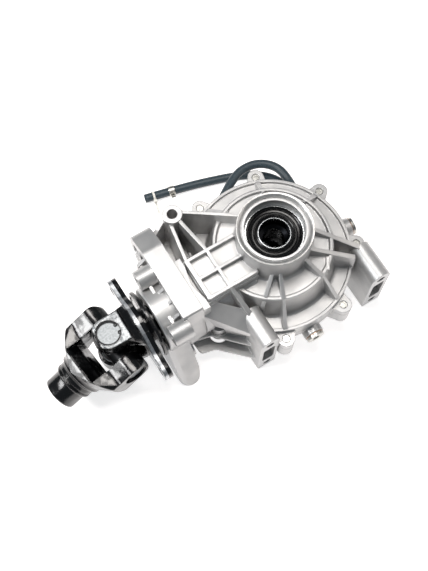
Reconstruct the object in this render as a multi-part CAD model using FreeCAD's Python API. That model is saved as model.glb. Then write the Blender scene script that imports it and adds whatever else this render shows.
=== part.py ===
import FreeCAD, Part
import math
import os

os.makedirs("parts", exist_ok=True)

# Rear differential of a small four-wheel vehicle, lying on its right side.
# Millimetres. The origin is the centre of the left axle boss face, on the axle axis.
# +Z points out of the left axle boss, -X towards the propeller shaft, -Y towards the mount blocks.

# Overall layout
case_width = 140.0
pinion_z = -case_width / 2
split_z = pinion_z - 16.0
gasket_thick = 0.6
running_gap = 0.05
loose_gap = 0.4

# Left and right axle bosses
boss_radius = 42.0
seal_radius = 32.5
seal_width = 9.0
left_seal_depth = 11.0
right_seal_depth = 3.0
left_mouth_radius = 33.0
right_mouth_radius = 33.5
mouth_gap = 0.5
boss_groove_radius = 36.0
boss_groove_width = 1.1
boss_groove_depth = 1.6
bearing_bore = 25.0
bearing_outer = 36.0
bearing_width = 11.0
axle_ball_count = 15
left_bearing_top = -24.0
right_bearing_top = 25.4 - case_width
seal_shoulder_radius = 30.0

# Dome of the gearcase, which covers the bowl with the ring gear
bowl_radius = 89.0
shelf_z = pinion_z + 28.0
shelf_wall = 4.5
ridge_radius = bowl_radius - 22.5
ridge_width = 4.0
ridge_top = pinion_z + 31.5
skirt_radius = bowl_radius - 16.0
skirt_wall = 6.0
flange_top = split_z + 12.0
flange_radius = bowl_radius + 3.0
rim_height = 3.5
rim_wall = 3.2

# Bolt lugs round the split
lug_count = 8
lug_circle = flange_radius + 7.0
lug_radius = 9.5
lug_top = split_z + 9.0
lug_bottom = split_z - 23.0
bolt_radius = 4.0
bolt_hole = 4.4
bolt_head_flats = 6.5
bolt_head_height = 5.5
washer_radius = 8.0
washer_thick = 1.4

# Cover
bowl_inner = bowl_radius - 7.5
cover_floor = 20.5 - case_width
cover_wall = 6.0
cover_rib_count = 12
cover_rib_thick = 4.0
tower_wall = 4.5
cover_room_gap = 1.5
dowel_radius = 3.0
dowel_circle = bowl_radius - 2.2
dowel_angles = (90.0, 225.0)
dowel_bottom = split_z - 7.0
dowel_top = split_z + 7.0

# Neck and its rib grid
neck_radius = 41.0
neck_deck = pinion_z + 42.5
neck_end_x = -108.0
grid_top = pinion_z + 50.0
grid_rib = 3.6
grid_edge_x = -95.0
grid_mid_x = -70.0
grid_half_y = 24.0
rib_draft = 0.035

# Slab, the thick plate across the front
slab_front_x = -131.0
slab_back_x = -107.0
slab_low_y = -31.0
slab_high_y = 86.0
slab_top = pinion_z + 50.0
slab_bottom = pinion_z + 8.0
slab_hole = 6.2
slab_hole_z = pinion_z + 24.0
slab_hole_y = 73.0
slab_seat = 9.5

# Snout that carries the pinion bearings
snout_radius = 39.0
snout_end_x = -154.0
front_boss_radius = 11.5
front_boss_x = -150.0
front_boss_y = 36.0
front_boss_z = 36.0
front_boss_hole = 4.2
front_hole_depth = 22.0

# Foot at the front
foot_front_x = -156.0
foot_back_x = -130.0
foot_y = -56.0

# Ear at the upper left
ear_x = -80.0
ear_y = 80.0
ear_radius = 11.0
ear_hole = 5.75
ear_top = pinion_z + 48.0
ear_bottom = split_z - 10.0

# Mount blocks
block_width = 24.0
right_block_x = bowl_radius - 4.0
left_block_x = 29.0 - bowl_radius
block_near_y = -flange_radius
block_far_y = -48.0
block_upper_z = pinion_z + 8.0
block_lower_z = 12.0 - case_width
block_hole = 5.1
block_hole_depth = 30.0
block_pocket_depth = 9.0

# Plugs
plug_radius = 8.0
plug_head_radius = 10.5
plug_head_height = 3.0
plug_key_flats = 4.0
plug_key_depth = 4.0
filler_angle = -6.0
drain_angle = -92.0
plug_z = split_z - 13.5
plug_boss_radius = 11.5
plug_boss_reach = bowl_radius + 15.0
drain_boss_reach = bowl_radius + 10.0

# Breather: a threaded boss on the cover and an elbow for the hose
breather_boss_radius = 8.0
breather_boss_reach = bowl_radius + 3.0
breather_thread = 4.0
breather_flats = 6.0
barb_radius = 3.4
barb_length = 16.0
elbow_reach = 8.0

# Ring gear and pinion
ring_teeth = 37
pinion_teeth = 11
ring_pitch_radius = bowl_inner - 3.5
ring_face = 23.0
ring_shift = -0.35
ring_gear_bore = 40.0
ring_back_z = pinion_z - 37.0
gear_backlash = 0.30
pinion_shaft_radius = 14.0
pinion_spline_radius = 11.5
pinion_thread_radius = 9.0
pinion_head_back = -80.0
pinion_room = 30.5
shaft_bore_gap = 1.0

# Side and spider gears
side_teeth = 16
spider_teeth = 10
side_pitch_radius = 20.0
side_face = 7.0
side_shift = -0.2
side_hub_radius = 18.7
side_spline_bore = 12.0
side_pilot_bore = 16.3
side_pilot_depth = 14.0
left_hub_end = -11.5
right_hub_end = 7.0 - case_width
side_back_reach = 16.6
lock_pin_radius = 2.0
lock_pin_length = 30.0
lock_pin_y = 33.0
cross_pin_radius = 6.0
washer_gap = 0.2
thrust_thick = 0.9

# Carrier
carrier_radius = 38.0
carrier_wall = 3.7
carrier_pocket = 27.5
carrier_flange_radius = 60.0
carrier_flange_bottom = ring_back_z - 6.0
carrier_window_half = 15.0
ring_bolt_circle = 50.0
ring_bolt_count = 8
ring_bolt_radius = 4.0
ring_bolt_head = 6.5
ring_bolt_head_height = 4.5
ring_bolt_depth = 9.0

# Pinion bearings, both fitted from the front
pinion_bearing_outer = 31.5
pinion_bearing_width = 17.0
rear_bearing_x = -97.0
front_bearing_x = -122.0
race_share = 0.25
ball_share = 0.31
ball_count = 11
snap_ring_thick = 2.0
input_seal_width = 9.0
input_seal_x = -144.0

# Input hub, disc and flange plate
hub_radius = 20.0
disc_radius = 40.0
disc_front_x = -162.0
disc_thick = 3.2
disc_rim = 4.4
plate_front_x = -175.0
plate_thick = 9.5
plate_lobe_reach = 64.5
plate_lobe_half = 10.5
plate_waist_radius = 33.0
plate_bore = 27.0
plate_hole = 5.3
plate_hole_y = 53.0
pinion_nut_flats = 12.5
nut_room = 15.2
pinion_nut_height = 8.5
pinion_washer_thick = 2.0

# Universal joint
joint_x = -205.0
cup_radius = 13.5
cup_floor = 3.0
cup_height = 17.0
cup_outer_face = 40.9
clip_thick = 1.5
clip_width = 2.4
clip_groove = 0.7
ear_face = 44.0
ear_half_width = 17.5
ear_round = 8.0
ear_edge = 2.0
flange_yoke_radius = 31.0
yoke_slot_half = 23.5
flange_yoke_slot = 27.5
trunnion_radius = 10.2
cross_core_radius = 13.0
cross_seal_radius = 12.6
cross_seal_thick = 2.0
droop_angle = 24.0
swing_angle = 7.0
socket_slot = 28.0
socket_neck_radius = 27.0
socket_collar_radius = 23.0
socket_tube_radius = 20.0
socket_neck_end = 48.0
socket_collar_end = 61.0
socket_tube_end = 82.0
socket_bore = 14.5
socket_bore_depth = 40.0

# Breather hose
hose_radius = 5.3
hose_bore = 3.4
hose_route = [
    (-3.0, 98.5, -105.0), (24.9, 117.9, -106.0), (48.8, 120.3, -106.0), (66.2, 112.7, -106.0),
    (77.7, 97.6, -106.0), (78.5, 75.5, -106.0), (81.0, 68.5, -120.3), (83.0, 75.5, -134.6),
    (78.5, 92.0, -134.6), (68.0, 108.0, -134.6), (46.1, 123.6, -134.6), (10.6, 136.4, -134.2),
    (-32.0, 148.8, -133.7), (-75.7, 158.9, -133.7),
]
band_gap = 0.2
clamp_along = 11.0
clamp_width = 7.0
clamp_turn = -50.0
band_thick = 0.8
tie_along = 33.5
tie_width = 2.6

AXES = {
    "x": FreeCAD.Vector(1, 0, 0),
    "y": FreeCAD.Vector(0, 1, 0),
    "z": FreeCAD.Vector(0, 0, 1),
}


def vec(x, y, z):
    return FreeCAD.Vector(x, y, z)


def spot(axis, along, at):
    """Point at a distance along an axis; at holds its other two coordinates in X, Y, Z order."""
    if axis == "x":
        return vec(along, at[0], at[1])
    if axis == "y":
        return vec(at[0], along, at[1])
    return vec(at[0], at[1], along)


def rod(radius, start, end, axis="z", at=(0.0, 0.0)):
    low = min(start, end)
    return Part.makeCylinder(radius, abs(end - start), spot(axis, low, at), AXES[axis])


def pipe(outer, inner, start, end, axis="z", at=(0.0, 0.0)):
    return rod(outer, start, end, axis, at).cut(rod(inner, start, end, axis, at))


def cone(radius_start, radius_end, start, end, axis="z", at=(0.0, 0.0)):
    shape = Part.makeCone(radius_start, radius_end, abs(end - start), vec(0, 0, 0), AXES[axis])
    if end < start:
        shape = Part.makeCone(radius_end, radius_start, abs(end - start), vec(0, 0, 0), AXES[axis])
    shape.translate(spot(axis, min(start, end), at))
    return shape


def block(x0, x1, y0, y1, z0, z1):
    return Part.makeBox(x1 - x0, y1 - y0, z1 - z0, vec(x0, y0, z0))


def polar(radius, angle):
    turn = math.radians(angle)
    return radius * math.cos(turn), radius * math.sin(turn)


def flat_point(plane, u, v, level):
    if plane == "xy":
        return vec(u, v, level)
    if plane == "xz":
        return vec(u, level, v)
    return vec(level, u, v)


def outline(corners, plane="xy", level=0.0):
    """Closed outline through (u, v, radius) corners; an arc of that radius rounds each corner."""
    ends = []
    for index, (u, v, radius) in enumerate(corners):
        here = vec(u, v, 0)
        last = corners[index - 1]
        following = corners[(index + 1) % len(corners)]
        if radius == 0:
            ends.append((here, None, here))
            continue
        back = (vec(last[0], last[1], 0) - here).normalize()
        ahead = (vec(following[0], following[1], 0) - here).normalize()
        half = back.getAngle(ahead) / 2
        reach = radius / math.tan(half)
        inward = (back + ahead).normalize()
        crown = here + inward * (radius / math.sin(half) - radius)
        ends.append((here + back * reach, crown, here + ahead * reach))
    edges = []
    for index, (start, crown, end) in enumerate(ends):
        following = ends[(index + 1) % len(ends)][0]
        a = flat_point(plane, start.x, start.y, level)
        b = flat_point(plane, end.x, end.y, level)
        c = flat_point(plane, following.x, following.y, level)
        if crown is not None:
            top = flat_point(plane, crown.x, crown.y, level)
            edges.append(Part.Arc(a, top, b).toShape())
        if (c - b).Length > 1e-6:
            edges.append(Part.LineSegment(b, c).toShape())
    return Part.Wire(edges)


def prism(corners, plane, start, end):
    face = Part.Face(outline(corners, plane, start))
    normal = {"xy": "z", "xz": "y", "yz": "x"}[plane]
    return face.extrude(AXES[normal] * (end - start))


def sharp(points):
    return [(u, v, 0) for u, v in points]


def turned(corners, axis="z", at=(0.0, 0.0)):
    """Solid of revolution through (radius, along, rounding) corners about an axis."""
    if axis == "x":
        wire = outline([(along, radius, rounding) for radius, along, rounding in corners], "xy")
    elif axis == "y":
        wire = outline([(radius, along, rounding) for radius, along, rounding in corners], "xy")
    else:
        wire = outline(corners, "xz")
    shape = Part.Face(wire).revolve(vec(0, 0, 0), AXES[axis], 360)
    shape.translate(spot(axis, 0.0, at))
    return shape


def solid_of(faces):
    """Closed solid from flat polygons, each a list of points."""
    made = []
    for points in faces:
        made.append(Part.Face(Part.makePolygon(points + [points[0]])))
    solid = Part.Solid(Part.Shell(made))
    if solid.Volume < 0:
        solid.reverse()
    return solid


def rib(start, end, top_start, top_end, bottom, thick):
    """Cast rib between two plan points, with a sloping top edge and draft on both sides."""
    a = vec(start[0], start[1], 0)
    b = vec(end[0], end[1], 0)
    along = (b - a).normalize()
    side = vec(-along.y, along.x, 0)
    peak = max(top_start, top_end)

    def half(z):
        return thick / 2 + rib_draft * (peak - z)

    def corner(point, z, sign):
        return point + side * (sign * half(z)) + vec(0, 0, z)

    low = [corner(a, bottom, -1), corner(b, bottom, -1), corner(b, bottom, 1), corner(a, bottom, 1)]
    high = [corner(a, top_start, -1), corner(b, top_end, -1), corner(b, top_end, 1), corner(a, top_start, 1)]
    faces = [low[::-1], high]
    for index in range(4):
        following = (index + 1) % 4
        faces.append([low[index], low[following], high[following], high[index]])
    return solid_of(faces)


def bent_rib(start, end, share, top_start, top_middle, top_end, bottom, thick):
    """Rib whose top edge bends at a share of its run, to follow the casting below it."""
    middle = (start[0] + (end[0] - start[0]) * share, start[1] + (end[1] - start[1]) * share)
    return rib(start, middle, top_start, top_middle, bottom, thick).fuse(
        rib(middle, end, top_middle, top_end, bottom, thick - 2 * rib_draft * (top_start - top_middle)))


def around(shape, count, axis="z", first=0.0, at=(0.0, 0.0, 0.0)):
    copies = []
    for index in range(count):
        turn = shape.copy()
        turn.rotate(vec(*at), AXES[axis], first + index * 360.0 / count)
        copies.append(turn)
    return copies


def fuse_all(shapes):
    return shapes[0].multiFuse(shapes[1:]).removeSplitter()


def cut_all(shape, tools):
    return shape.cut(Part.makeCompound(tools))


# Bevel gears. Every tooth surface runs through the apex, so a gear is its blank with tapering tooth
# spaces cut out of it. Tooth flanks are involutes on the back cone.
def involute(angle):
    return math.tan(angle) - angle


class BevelGear:
    def __init__(self, teeth, mate_teeth, pitch_radius, face, shift):
        self.teeth = teeth
        self.module = 2 * pitch_radius / teeth
        self.pitch_radius = pitch_radius
        self.cone_angle = math.atan2(teeth, mate_teeth)
        self.cone_length = pitch_radius / math.sin(self.cone_angle)
        self.face = face
        self.shift = shift
        self.addendum = (1.0 + shift) * self.module
        self.dedendum = (1.25 - shift) * self.module

    def at(self, offset, length):
        """Radius and distance from the apex of a point off the pitch cone."""
        scale = length / self.cone_length
        s = offset * scale
        radius = length * math.sin(self.cone_angle) + s * math.cos(self.cone_angle)
        height = length * math.cos(self.cone_angle) - s * math.sin(self.cone_angle)
        return radius, height

    def space_half_angles(self):
        """Height off the pitch cone and half angle of the tooth space, from root to above the tip."""
        pressure = math.radians(20.0)
        virtual = self.pitch_radius / math.cos(self.cone_angle)
        base = virtual * math.cos(pressure)
        virtual_teeth = self.teeth / math.cos(self.cone_angle)
        tooth_half = math.pi / (2 * virtual_teeth)
        tooth_half += 2 * self.shift * math.tan(pressure) / virtual_teeth
        tooth_half -= gear_backlash / (4 * virtual)
        root = -self.dedendum
        tip = self.addendum * 1.02
        rows = []
        for step in range(5):
            offset = root + (tip - root) * step / 4
            radius = virtual + offset
            angle = math.acos(min(1.0, base / radius))
            thick = tooth_half + involute(pressure) - involute(angle)
            space = math.pi / virtual_teeth - thick
            rows.append((offset, space / math.cos(self.cone_angle)))
        return rows

    def space(self, middle):
        """Cutter for one tooth space, centred at an angle about the gear's own axis."""
        rows = self.space_half_angles()
        rays = []
        last_offset, last_half = rows[-1]
        slope = (last_half - rows[-2][1]) / (last_offset - rows[-2][0])
        beyond = last_offset + 0.6 * self.module
        rows = rows + [(beyond, last_half + slope * (beyond - last_offset))]
        for offset, half in rows:
            radius, height = self.at(offset, self.cone_length)
            rays.append((radius, height, half))
        points = [(r, h, -half) for r, h, half in rays[::-1]] + [(r, h, half) for r, h, half in rays]
        generator = vec(math.sin(self.cone_angle) * math.cos(middle),
                        math.sin(self.cone_angle) * math.sin(middle),
                        math.cos(self.cone_angle))
        stations = []
        for distance in (self.cone_length * 1.12, (self.cone_length - self.face) * 0.86):
            ring = []
            for radius, height, half in points:
                ray = vec(radius * math.cos(middle + half), radius * math.sin(middle + half), height)
                ring.append(ray * (distance / ray.dot(generator)))
            stations.append(ring)
        outer, inner = stations
        faces = [outer, inner[::-1]]
        for index in range(len(points)):
            following = (index + 1) % len(points)
            faces.append([outer[index], outer[following], inner[following], inner[index]])
        return solid_of(faces)

    def spaces(self, first):
        pitch = 2 * math.pi / self.teeth
        return [self.space(first + index * pitch) for index in range(self.teeth)]

    def corners(self):
        """Blank corners: tip outside, tip inside, root inside, root outside, as radius and height."""
        inner = self.cone_length - self.face
        return (self.at(self.addendum, self.cone_length), self.at(self.addendum, inner),
                self.at(-self.dedendum, inner), self.at(-self.dedendum, self.cone_length))


ring_form = BevelGear(ring_teeth, pinion_teeth, ring_pitch_radius, ring_face, ring_shift)
pinion_form = BevelGear(pinion_teeth, ring_teeth, ring_pitch_radius * pinion_teeth / ring_teeth, ring_face,
                        -ring_shift)
side_form = BevelGear(side_teeth, spider_teeth, side_pitch_radius, side_face, side_shift)
spider_form = BevelGear(spider_teeth, side_teeth, side_pitch_radius * spider_teeth / side_teeth, side_face,
                        -side_shift)

hose_start = vec(*hose_route[0])
hose_ahead = (vec(*hose_route[1]) - hose_start).normalize()
elbow = hose_start - hose_ahead * elbow_reach
breather_angle = math.degrees(math.atan2(elbow.y, elbow.x))

lug_angles = [(index + 0.5) * 360.0 / lug_count for index in range(lug_count)]
cover_top = split_z - gasket_thick
case_bottom = -case_width


def lug_webs(start, end, grow=0.0):
    """Straight shoulders that blend each lug into the flange."""
    inner = flange_radius - 6.0
    narrow = lug_radius + grow
    wide = narrow + 3.5
    web = prism(sharp([(lug_circle, narrow), (inner, wide), (inner, -wide), (lug_circle, -narrow)]),
                "xy", start, end)
    return around(web, lug_count, "z", lug_angles[0])


def mount_block(middle):
    """Upright block with a round top, two tapped holes in its near face and a pocket between them."""
    half = block_width / 2
    top = block_upper_z + half
    corners = [(middle - half, case_bottom, 2.5), (middle + half, case_bottom, 2.5),
               (middle + half, top, half), (middle - half, top, half)]
    return prism(corners, "xz", block_near_y, block_far_y)


def block_cuts(middle):
    rim = 4.5
    half = block_width / 2 - rim
    pocket = [(middle - half, block_lower_z + block_width / 2 + 1.5, 3.0),
              (middle + half, block_lower_z + block_width / 2 + 1.5, 3.0),
              (middle + half, block_upper_z - block_width / 2 - 1.5, 3.0),
              (middle - half, block_upper_z - block_width / 2 - 1.5, 3.0)]
    cuts = [prism(pocket, "xz", block_near_y - 1.0, block_near_y + block_pocket_depth)]
    for height in (block_upper_z, block_lower_z):
        cuts.append(rod(block_hole, block_near_y - 1.0, block_near_y + block_hole_depth, "y", (middle, height)))
    return cuts


def dome():
    inner_ridge = ridge_radius - ridge_width
    rim_top = flange_top + rim_height
    corners = [(0, 0, 0), (boss_radius, 0, 0.8), (boss_radius, shelf_z, 4.0), (inner_ridge, shelf_z, 1.5),
               (inner_ridge, ridge_top, 0.8), (ridge_radius, ridge_top, 1.2), (skirt_radius, flange_top, 4.0),
               (flange_radius - rim_wall - 0.4, flange_top, 1.0), (flange_radius - rim_wall, rim_top, 0),
               (flange_radius, rim_top, 0), (flange_radius, split_z, 0), (0, split_z, 0)]
    return turned(corners)


def case_lugs():
    shapes = lug_webs(lug_top, split_z)
    for angle in lug_angles:
        shapes.append(rod(lug_radius, lug_top, split_z, "z", polar(lug_circle, angle)))
    return shapes


def neck():
    """Barrel round the pinion shaft with the flat deck and its grid of ribs on top."""
    shapes = [rod(neck_radius, neck_end_x, -boss_radius + 4.0, "x", (0.0, pinion_z))]
    shapes.append(block(neck_end_x, -boss_radius + 6.0, -grid_half_y - 3.0, grid_half_y + 3.0,
                        pinion_z, neck_deck))
    reach = -boss_radius + 6.0
    for y in (-grid_half_y, 0.0, grid_half_y):
        shapes.append(rib((grid_edge_x, y), (reach, y), grid_top, grid_top, neck_deck - 6.0, grid_rib))
    for x, thick in ((grid_edge_x, grid_rib + 1.2), (grid_mid_x, grid_rib)):
        shapes.append(rib((x, -grid_half_y - 1.5), (x, grid_half_y + 1.5), grid_top, grid_top,
                          neck_deck - 6.0, thick))
    wall_top = grid_top - 4.0
    shapes.append(block(neck_end_x, grid_edge_x - 4.0, -grid_half_y - 8.0, grid_half_y + 8.0,
                        pinion_z, wall_top))
    return shapes


def slab():
    """Thick plate across the front, rounded at its high end."""
    corners = [(slab_low_y, slab_top, 3.0), (slab_high_y - 30.0, slab_top, 12.0),
               (slab_high_y, slab_top - 12.0, 12.0), (slab_high_y, slab_bottom, 10.0),
               (slab_high_y - 32.0, slab_bottom - 4.0, 12.0), (neck_radius, pinion_z - 30.0, 16.0),
               (0.0, pinion_z - snout_radius - 6.0, 20.0), (slab_low_y - 8.0, pinion_z - 30.0, 10.0),
               (slab_low_y - 4.0, slab_bottom, 6.0)]
    return prism(corners, "yz", slab_front_x, slab_back_x)


def front_boss_places():
    return [(sign_y * front_boss_y, pinion_z + sign_z * front_boss_z)
            for sign_y in (-1, 1) for sign_z in (-1, 1)]


def snout():
    corners = [(0, snout_end_x, 0), (snout_radius, snout_end_x, 2.5), (snout_radius, slab_front_x + 6.0, 0),
               (0, slab_front_x + 6.0, 0)]
    shapes = [turned(corners, "x", (0.0, pinion_z))]
    for place in front_boss_places():
        shapes.append(rod(front_boss_radius, front_boss_x, slab_front_x + 4.0, "x", place))
    ridge_x = (front_boss_x + slab_front_x) / 2
    ridge_z = pinion_z + front_boss_z
    shapes.append(rib((ridge_x, -front_boss_y), (ridge_x, front_boss_y), ridge_z, ridge_z, pinion_z, 3.5))
    shapes.append(rib((ridge_x, front_boss_y), (slab_front_x + 2.0, slab_high_y - 8.0), ridge_z, ridge_z - 6.0,
                      slab_bottom + 6.0, 3.5))
    for share in (-0.55, -0.1, 0.35, 0.78, 1.45):
        y = share * front_boss_y
        shapes.append(rib((slab_front_x + 2.0, y), (ridge_x, y), slab_top - 6.0, ridge_z - 2.0,
                          pinion_z + 12.0, 3.2))
    return shapes


def foot():
    """Rounded foot under the snout, sloping down to the ground."""
    middle = (foot_front_x + foot_back_x) / 2
    half = (foot_back_x - foot_front_x) / 2
    end = foot_y - half
    plan = [(middle - half, -12.0, 0), (middle - half, end, half), (middle + half, end, half),
            (middle + half, -12.0, 0)]
    side = [(-12.0, pinion_z, 0), (-snout_radius + 4.0, pinion_z - 4.0, 6.0),
            (end + 8.0, case_bottom + 16.0, 10.0), (end, case_bottom, 0), (-12.0, case_bottom, 0)]
    return prism(plan, "xy", case_bottom, pinion_z).common(prism(side, "yz", foot_front_x - 1.0,
                                                                 foot_back_x + 1.0))


def ear():
    shapes = [rod(ear_radius, ear_bottom, ear_top, "z", (ear_x, ear_y))]
    boss_edge = boss_radius - 3.0
    shapes.append(rib((ear_x + ear_radius - 3.0, ear_y - 1.0), (-14.0, boss_edge), ear_top - 1.0, -24.0,
                      flange_top - 4.0, 3.6))
    shapes.append(rib((ear_x + 3.0, ear_y - ear_radius + 3.0), (grid_mid_x, grid_half_y), ear_top - 2.0,
                      grid_top, flange_top - 4.0, 3.6))
    shapes.append(rib((ear_x - 6.0, ear_y - 6.0), (slab_back_x + 13.0, grid_half_y + 2.0), ear_top - 6.0, -28.0,
                      -92.0, 3.6))
    web = [(slab_back_x - 4.0, grid_half_y, 0), (slab_back_x - 4.0, slab_high_y - 14.0, 6.0),
           (ear_x - 8.0, ear_y + 4.0, 8.0), (ear_x + 10.0, ear_y + 4.0, 6.0), (-60.0, 60.0, 0),
           (-70.0, grid_half_y, 0)]
    shapes.append(prism(web, "xy", split_z - 5.0, split_z + 4.0))
    shapes.append(rib((slab_back_x - 2.0, slab_high_y - 12.0), (ear_x - 4.0, ear_y + 6.0), -40.0, ear_top - 8.0,
                      -90.0, 4.0))
    return shapes


def dome_ribs():
    """Ribs that run from the axle boss out to the blocks and the lugs."""
    left = left_block_x
    right = right_block_x
    near = block_far_y - 6.0
    boss_edge = boss_radius - 3.0
    crest = ridge_top + 1.5
    shapes = [
        rib((grid_mid_x, -grid_half_y), (left - 2.0, near), grid_top, -50.5, -76.0, 3.8),
        bent_rib((-22.0, -33.0), (left + 13.0, near), 0.75, -25.0, crest, -50.0, -76.0, 3.8),
        rib((26.0, -30.0), (right - 13.0, near - 4.0), -25.0, -51.0, -76.0, 4.0),
        rib((40.0, -8.0), (right - 1.0, near + 2.0), -28.0, -51.0, -76.0, 4.0),
        rib((42.0, -45.0), (34.0, -58.0), crest, crest - 1.0, -60.0, 3.4),
    ]
    reach = flange_radius - 1.0
    share = (ridge_radius - boss_edge) / (reach - boss_edge)
    for angle in (lug_angles[5], lug_angles[6]):
        shapes.append(bent_rib(polar(boss_edge, angle), polar(reach, angle), share, -24.0, crest,
                               flange_top + 3.0, flange_top - 5.0, 3.8))
    for angle in (lug_angles[0], lug_angles[1], lug_angles[2]):
        shapes.append(rib(polar(ridge_radius - 6.0, angle), polar(reach, angle), crest, flange_top + 2.0,
                          flange_top - 5.0, 3.4))
    return shapes


def side_web():
    """Broad sloping web from the neck to the left block, with two level fins below it."""
    edge_x = left_block_x - 6.0
    plan = sharp([(neck_end_x, -18.0), (neck_end_x - 2.0, -31.0), (edge_x, -76.0), (edge_x + 8.0, -76.0),
                  (edge_x + 2.0, -47.0), (-92.0, -24.0), (-92.0, -18.0)])
    slope = sharp([(-18.0, -34.0), (-24.0, -36.0), (-78.0, -66.0), (-78.0, -74.0), (-18.0, -60.0)])
    shapes = [prism(plan, "xy", -90.0, -20.0).common(prism(slope, "yz", -130.0, -40.0))]
    for level, start, reach in ((-92.0, -38.0, -76.0), (-116.0, -48.0, -85.0)):
        fin = [(-124.0, -14.0, 0), (-121.0, start, 5.0), (-104.0, start - 4.0, 8.0), (edge_x - 5.0, reach, 3.0),
               (edge_x + 8.0, reach, 0), (edge_x + 8.0, -14.0, 0)]
        shapes.append(prism(fin, "xy", level - 4.0, level))
    shapes.append(rib((-106.0, -28.0), (edge_x, -66.0), -62.0, -76.0, -118.0, 4.0))
    shapes.append(block(-128.0, -106.0, -34.0, -20.0, -118.0, pinion_z))
    return shapes


def case_hollow():
    """Everything that is bored, cored or drilled out of the gearcase."""
    cuts = [rod(seal_radius, 1.0, -left_seal_depth - seal_width),
            rod(left_mouth_radius, 1.0, mouth_gap - left_seal_depth),
            rod(seal_shoulder_radius, 0.0, left_bearing_top),
            rod(bearing_outer, left_bearing_top, shelf_z - shelf_wall - 1.0)]
    groove = pipe(boss_groove_radius + boss_groove_width, boss_groove_radius, -boss_groove_depth, 1.0)
    cuts.append(groove)
    inner_top = shelf_z - shelf_wall
    inside = skirt_radius - skirt_wall
    cavity = [(0, inner_top, 0), (ridge_radius - ridge_width - 3.0, inner_top, 5.0),
              (inside, flange_top + 6.0, 3.0), (inside, split_z - 1.0, 0), (0, split_z - 1.0, 0)]
    cuts.append(turned(cavity))
    cuts.append(rod(pinion_room, pinion_head_back - 1.0, -50.0, "x", (0.0, pinion_z)))
    cuts.append(rod(pinion_shaft_radius + shaft_bore_gap, rear_bearing_x - 1.0, pinion_head_back, "x",
                    (0.0, pinion_z)))
    cuts.append(rod(pinion_bearing_outer, foot_front_x - 1.0, rear_bearing_x, "x", (0.0, pinion_z)))
    ring_start = front_bearing_x - pinion_bearing_width - 0.3
    cuts.append(rod(pinion_bearing_outer + 1.6, ring_start - snap_ring_thick - 0.2, ring_start, "x",
                    (0.0, pinion_z)))
    for angle in lug_angles:
        cuts.append(rod(bolt_hole, lug_top + 1.0, split_z - 1.0, "z", polar(lug_circle, angle)))
    for place in front_boss_places():
        cuts.append(rod(front_boss_hole, front_boss_x - 1.0, front_boss_x + front_hole_depth, "x", place))
    for radius, end in ((slab_hole, slab_back_x), (slab_seat, slab_front_x)):
        cuts.append(rod(radius, front_boss_x, end, "x", (slab_hole_y, slab_hole_z)))
    for angle in dowel_angles:
        cuts.append(rod(dowel_radius, split_z - 1.0, dowel_top, "z", polar(dowel_circle, angle)))
    cuts.append(rod(ear_hole, ear_bottom - 1.0, ear_top + 1.0, "z", (ear_x, ear_y)))
    cuts += block_cuts(right_block_x) + block_cuts(left_block_x)
    lens_half = grid_half_y + 1.5
    lens = [(grid_edge_x - 3.2, -lens_half, 0), (grid_edge_x - 3.2, lens_half, 0),
            (grid_edge_x - 8.6, 0.0, 26.0)]
    cuts.append(prism(lens, "xy", neck_deck - 9.0, grid_top + 1.0))
    return cuts


def cover_room():
    """Space below the split that the cover and its lugs take up."""
    low = case_bottom - 1.0
    shapes = [rod(flange_radius + cover_room_gap, low, split_z)] + lug_webs(low, split_z, cover_room_gap)
    for angle in lug_angles:
        shapes.append(rod(lug_radius + cover_room_gap, low, split_z, "z", polar(lug_circle, angle)))
    return shapes


def gearcase():
    shapes = [dome()] + case_lugs() + neck() + [slab()] + snout() + [foot()] + ear() + dome_ribs() + side_web()
    shapes += [mount_block(right_block_x), mount_block(left_block_x)]
    return cut_all(fuse_all(shapes), cover_room() + case_hollow())


def radial_boss(angle, height, radius, start, end):
    """Round boss that points outwards from the axle axis at an angle."""
    boss = rod(radius, start, end, "x", (0.0, height))
    boss.rotate(vec(0, 0, 0), AXES["z"], angle)
    return boss


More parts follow.
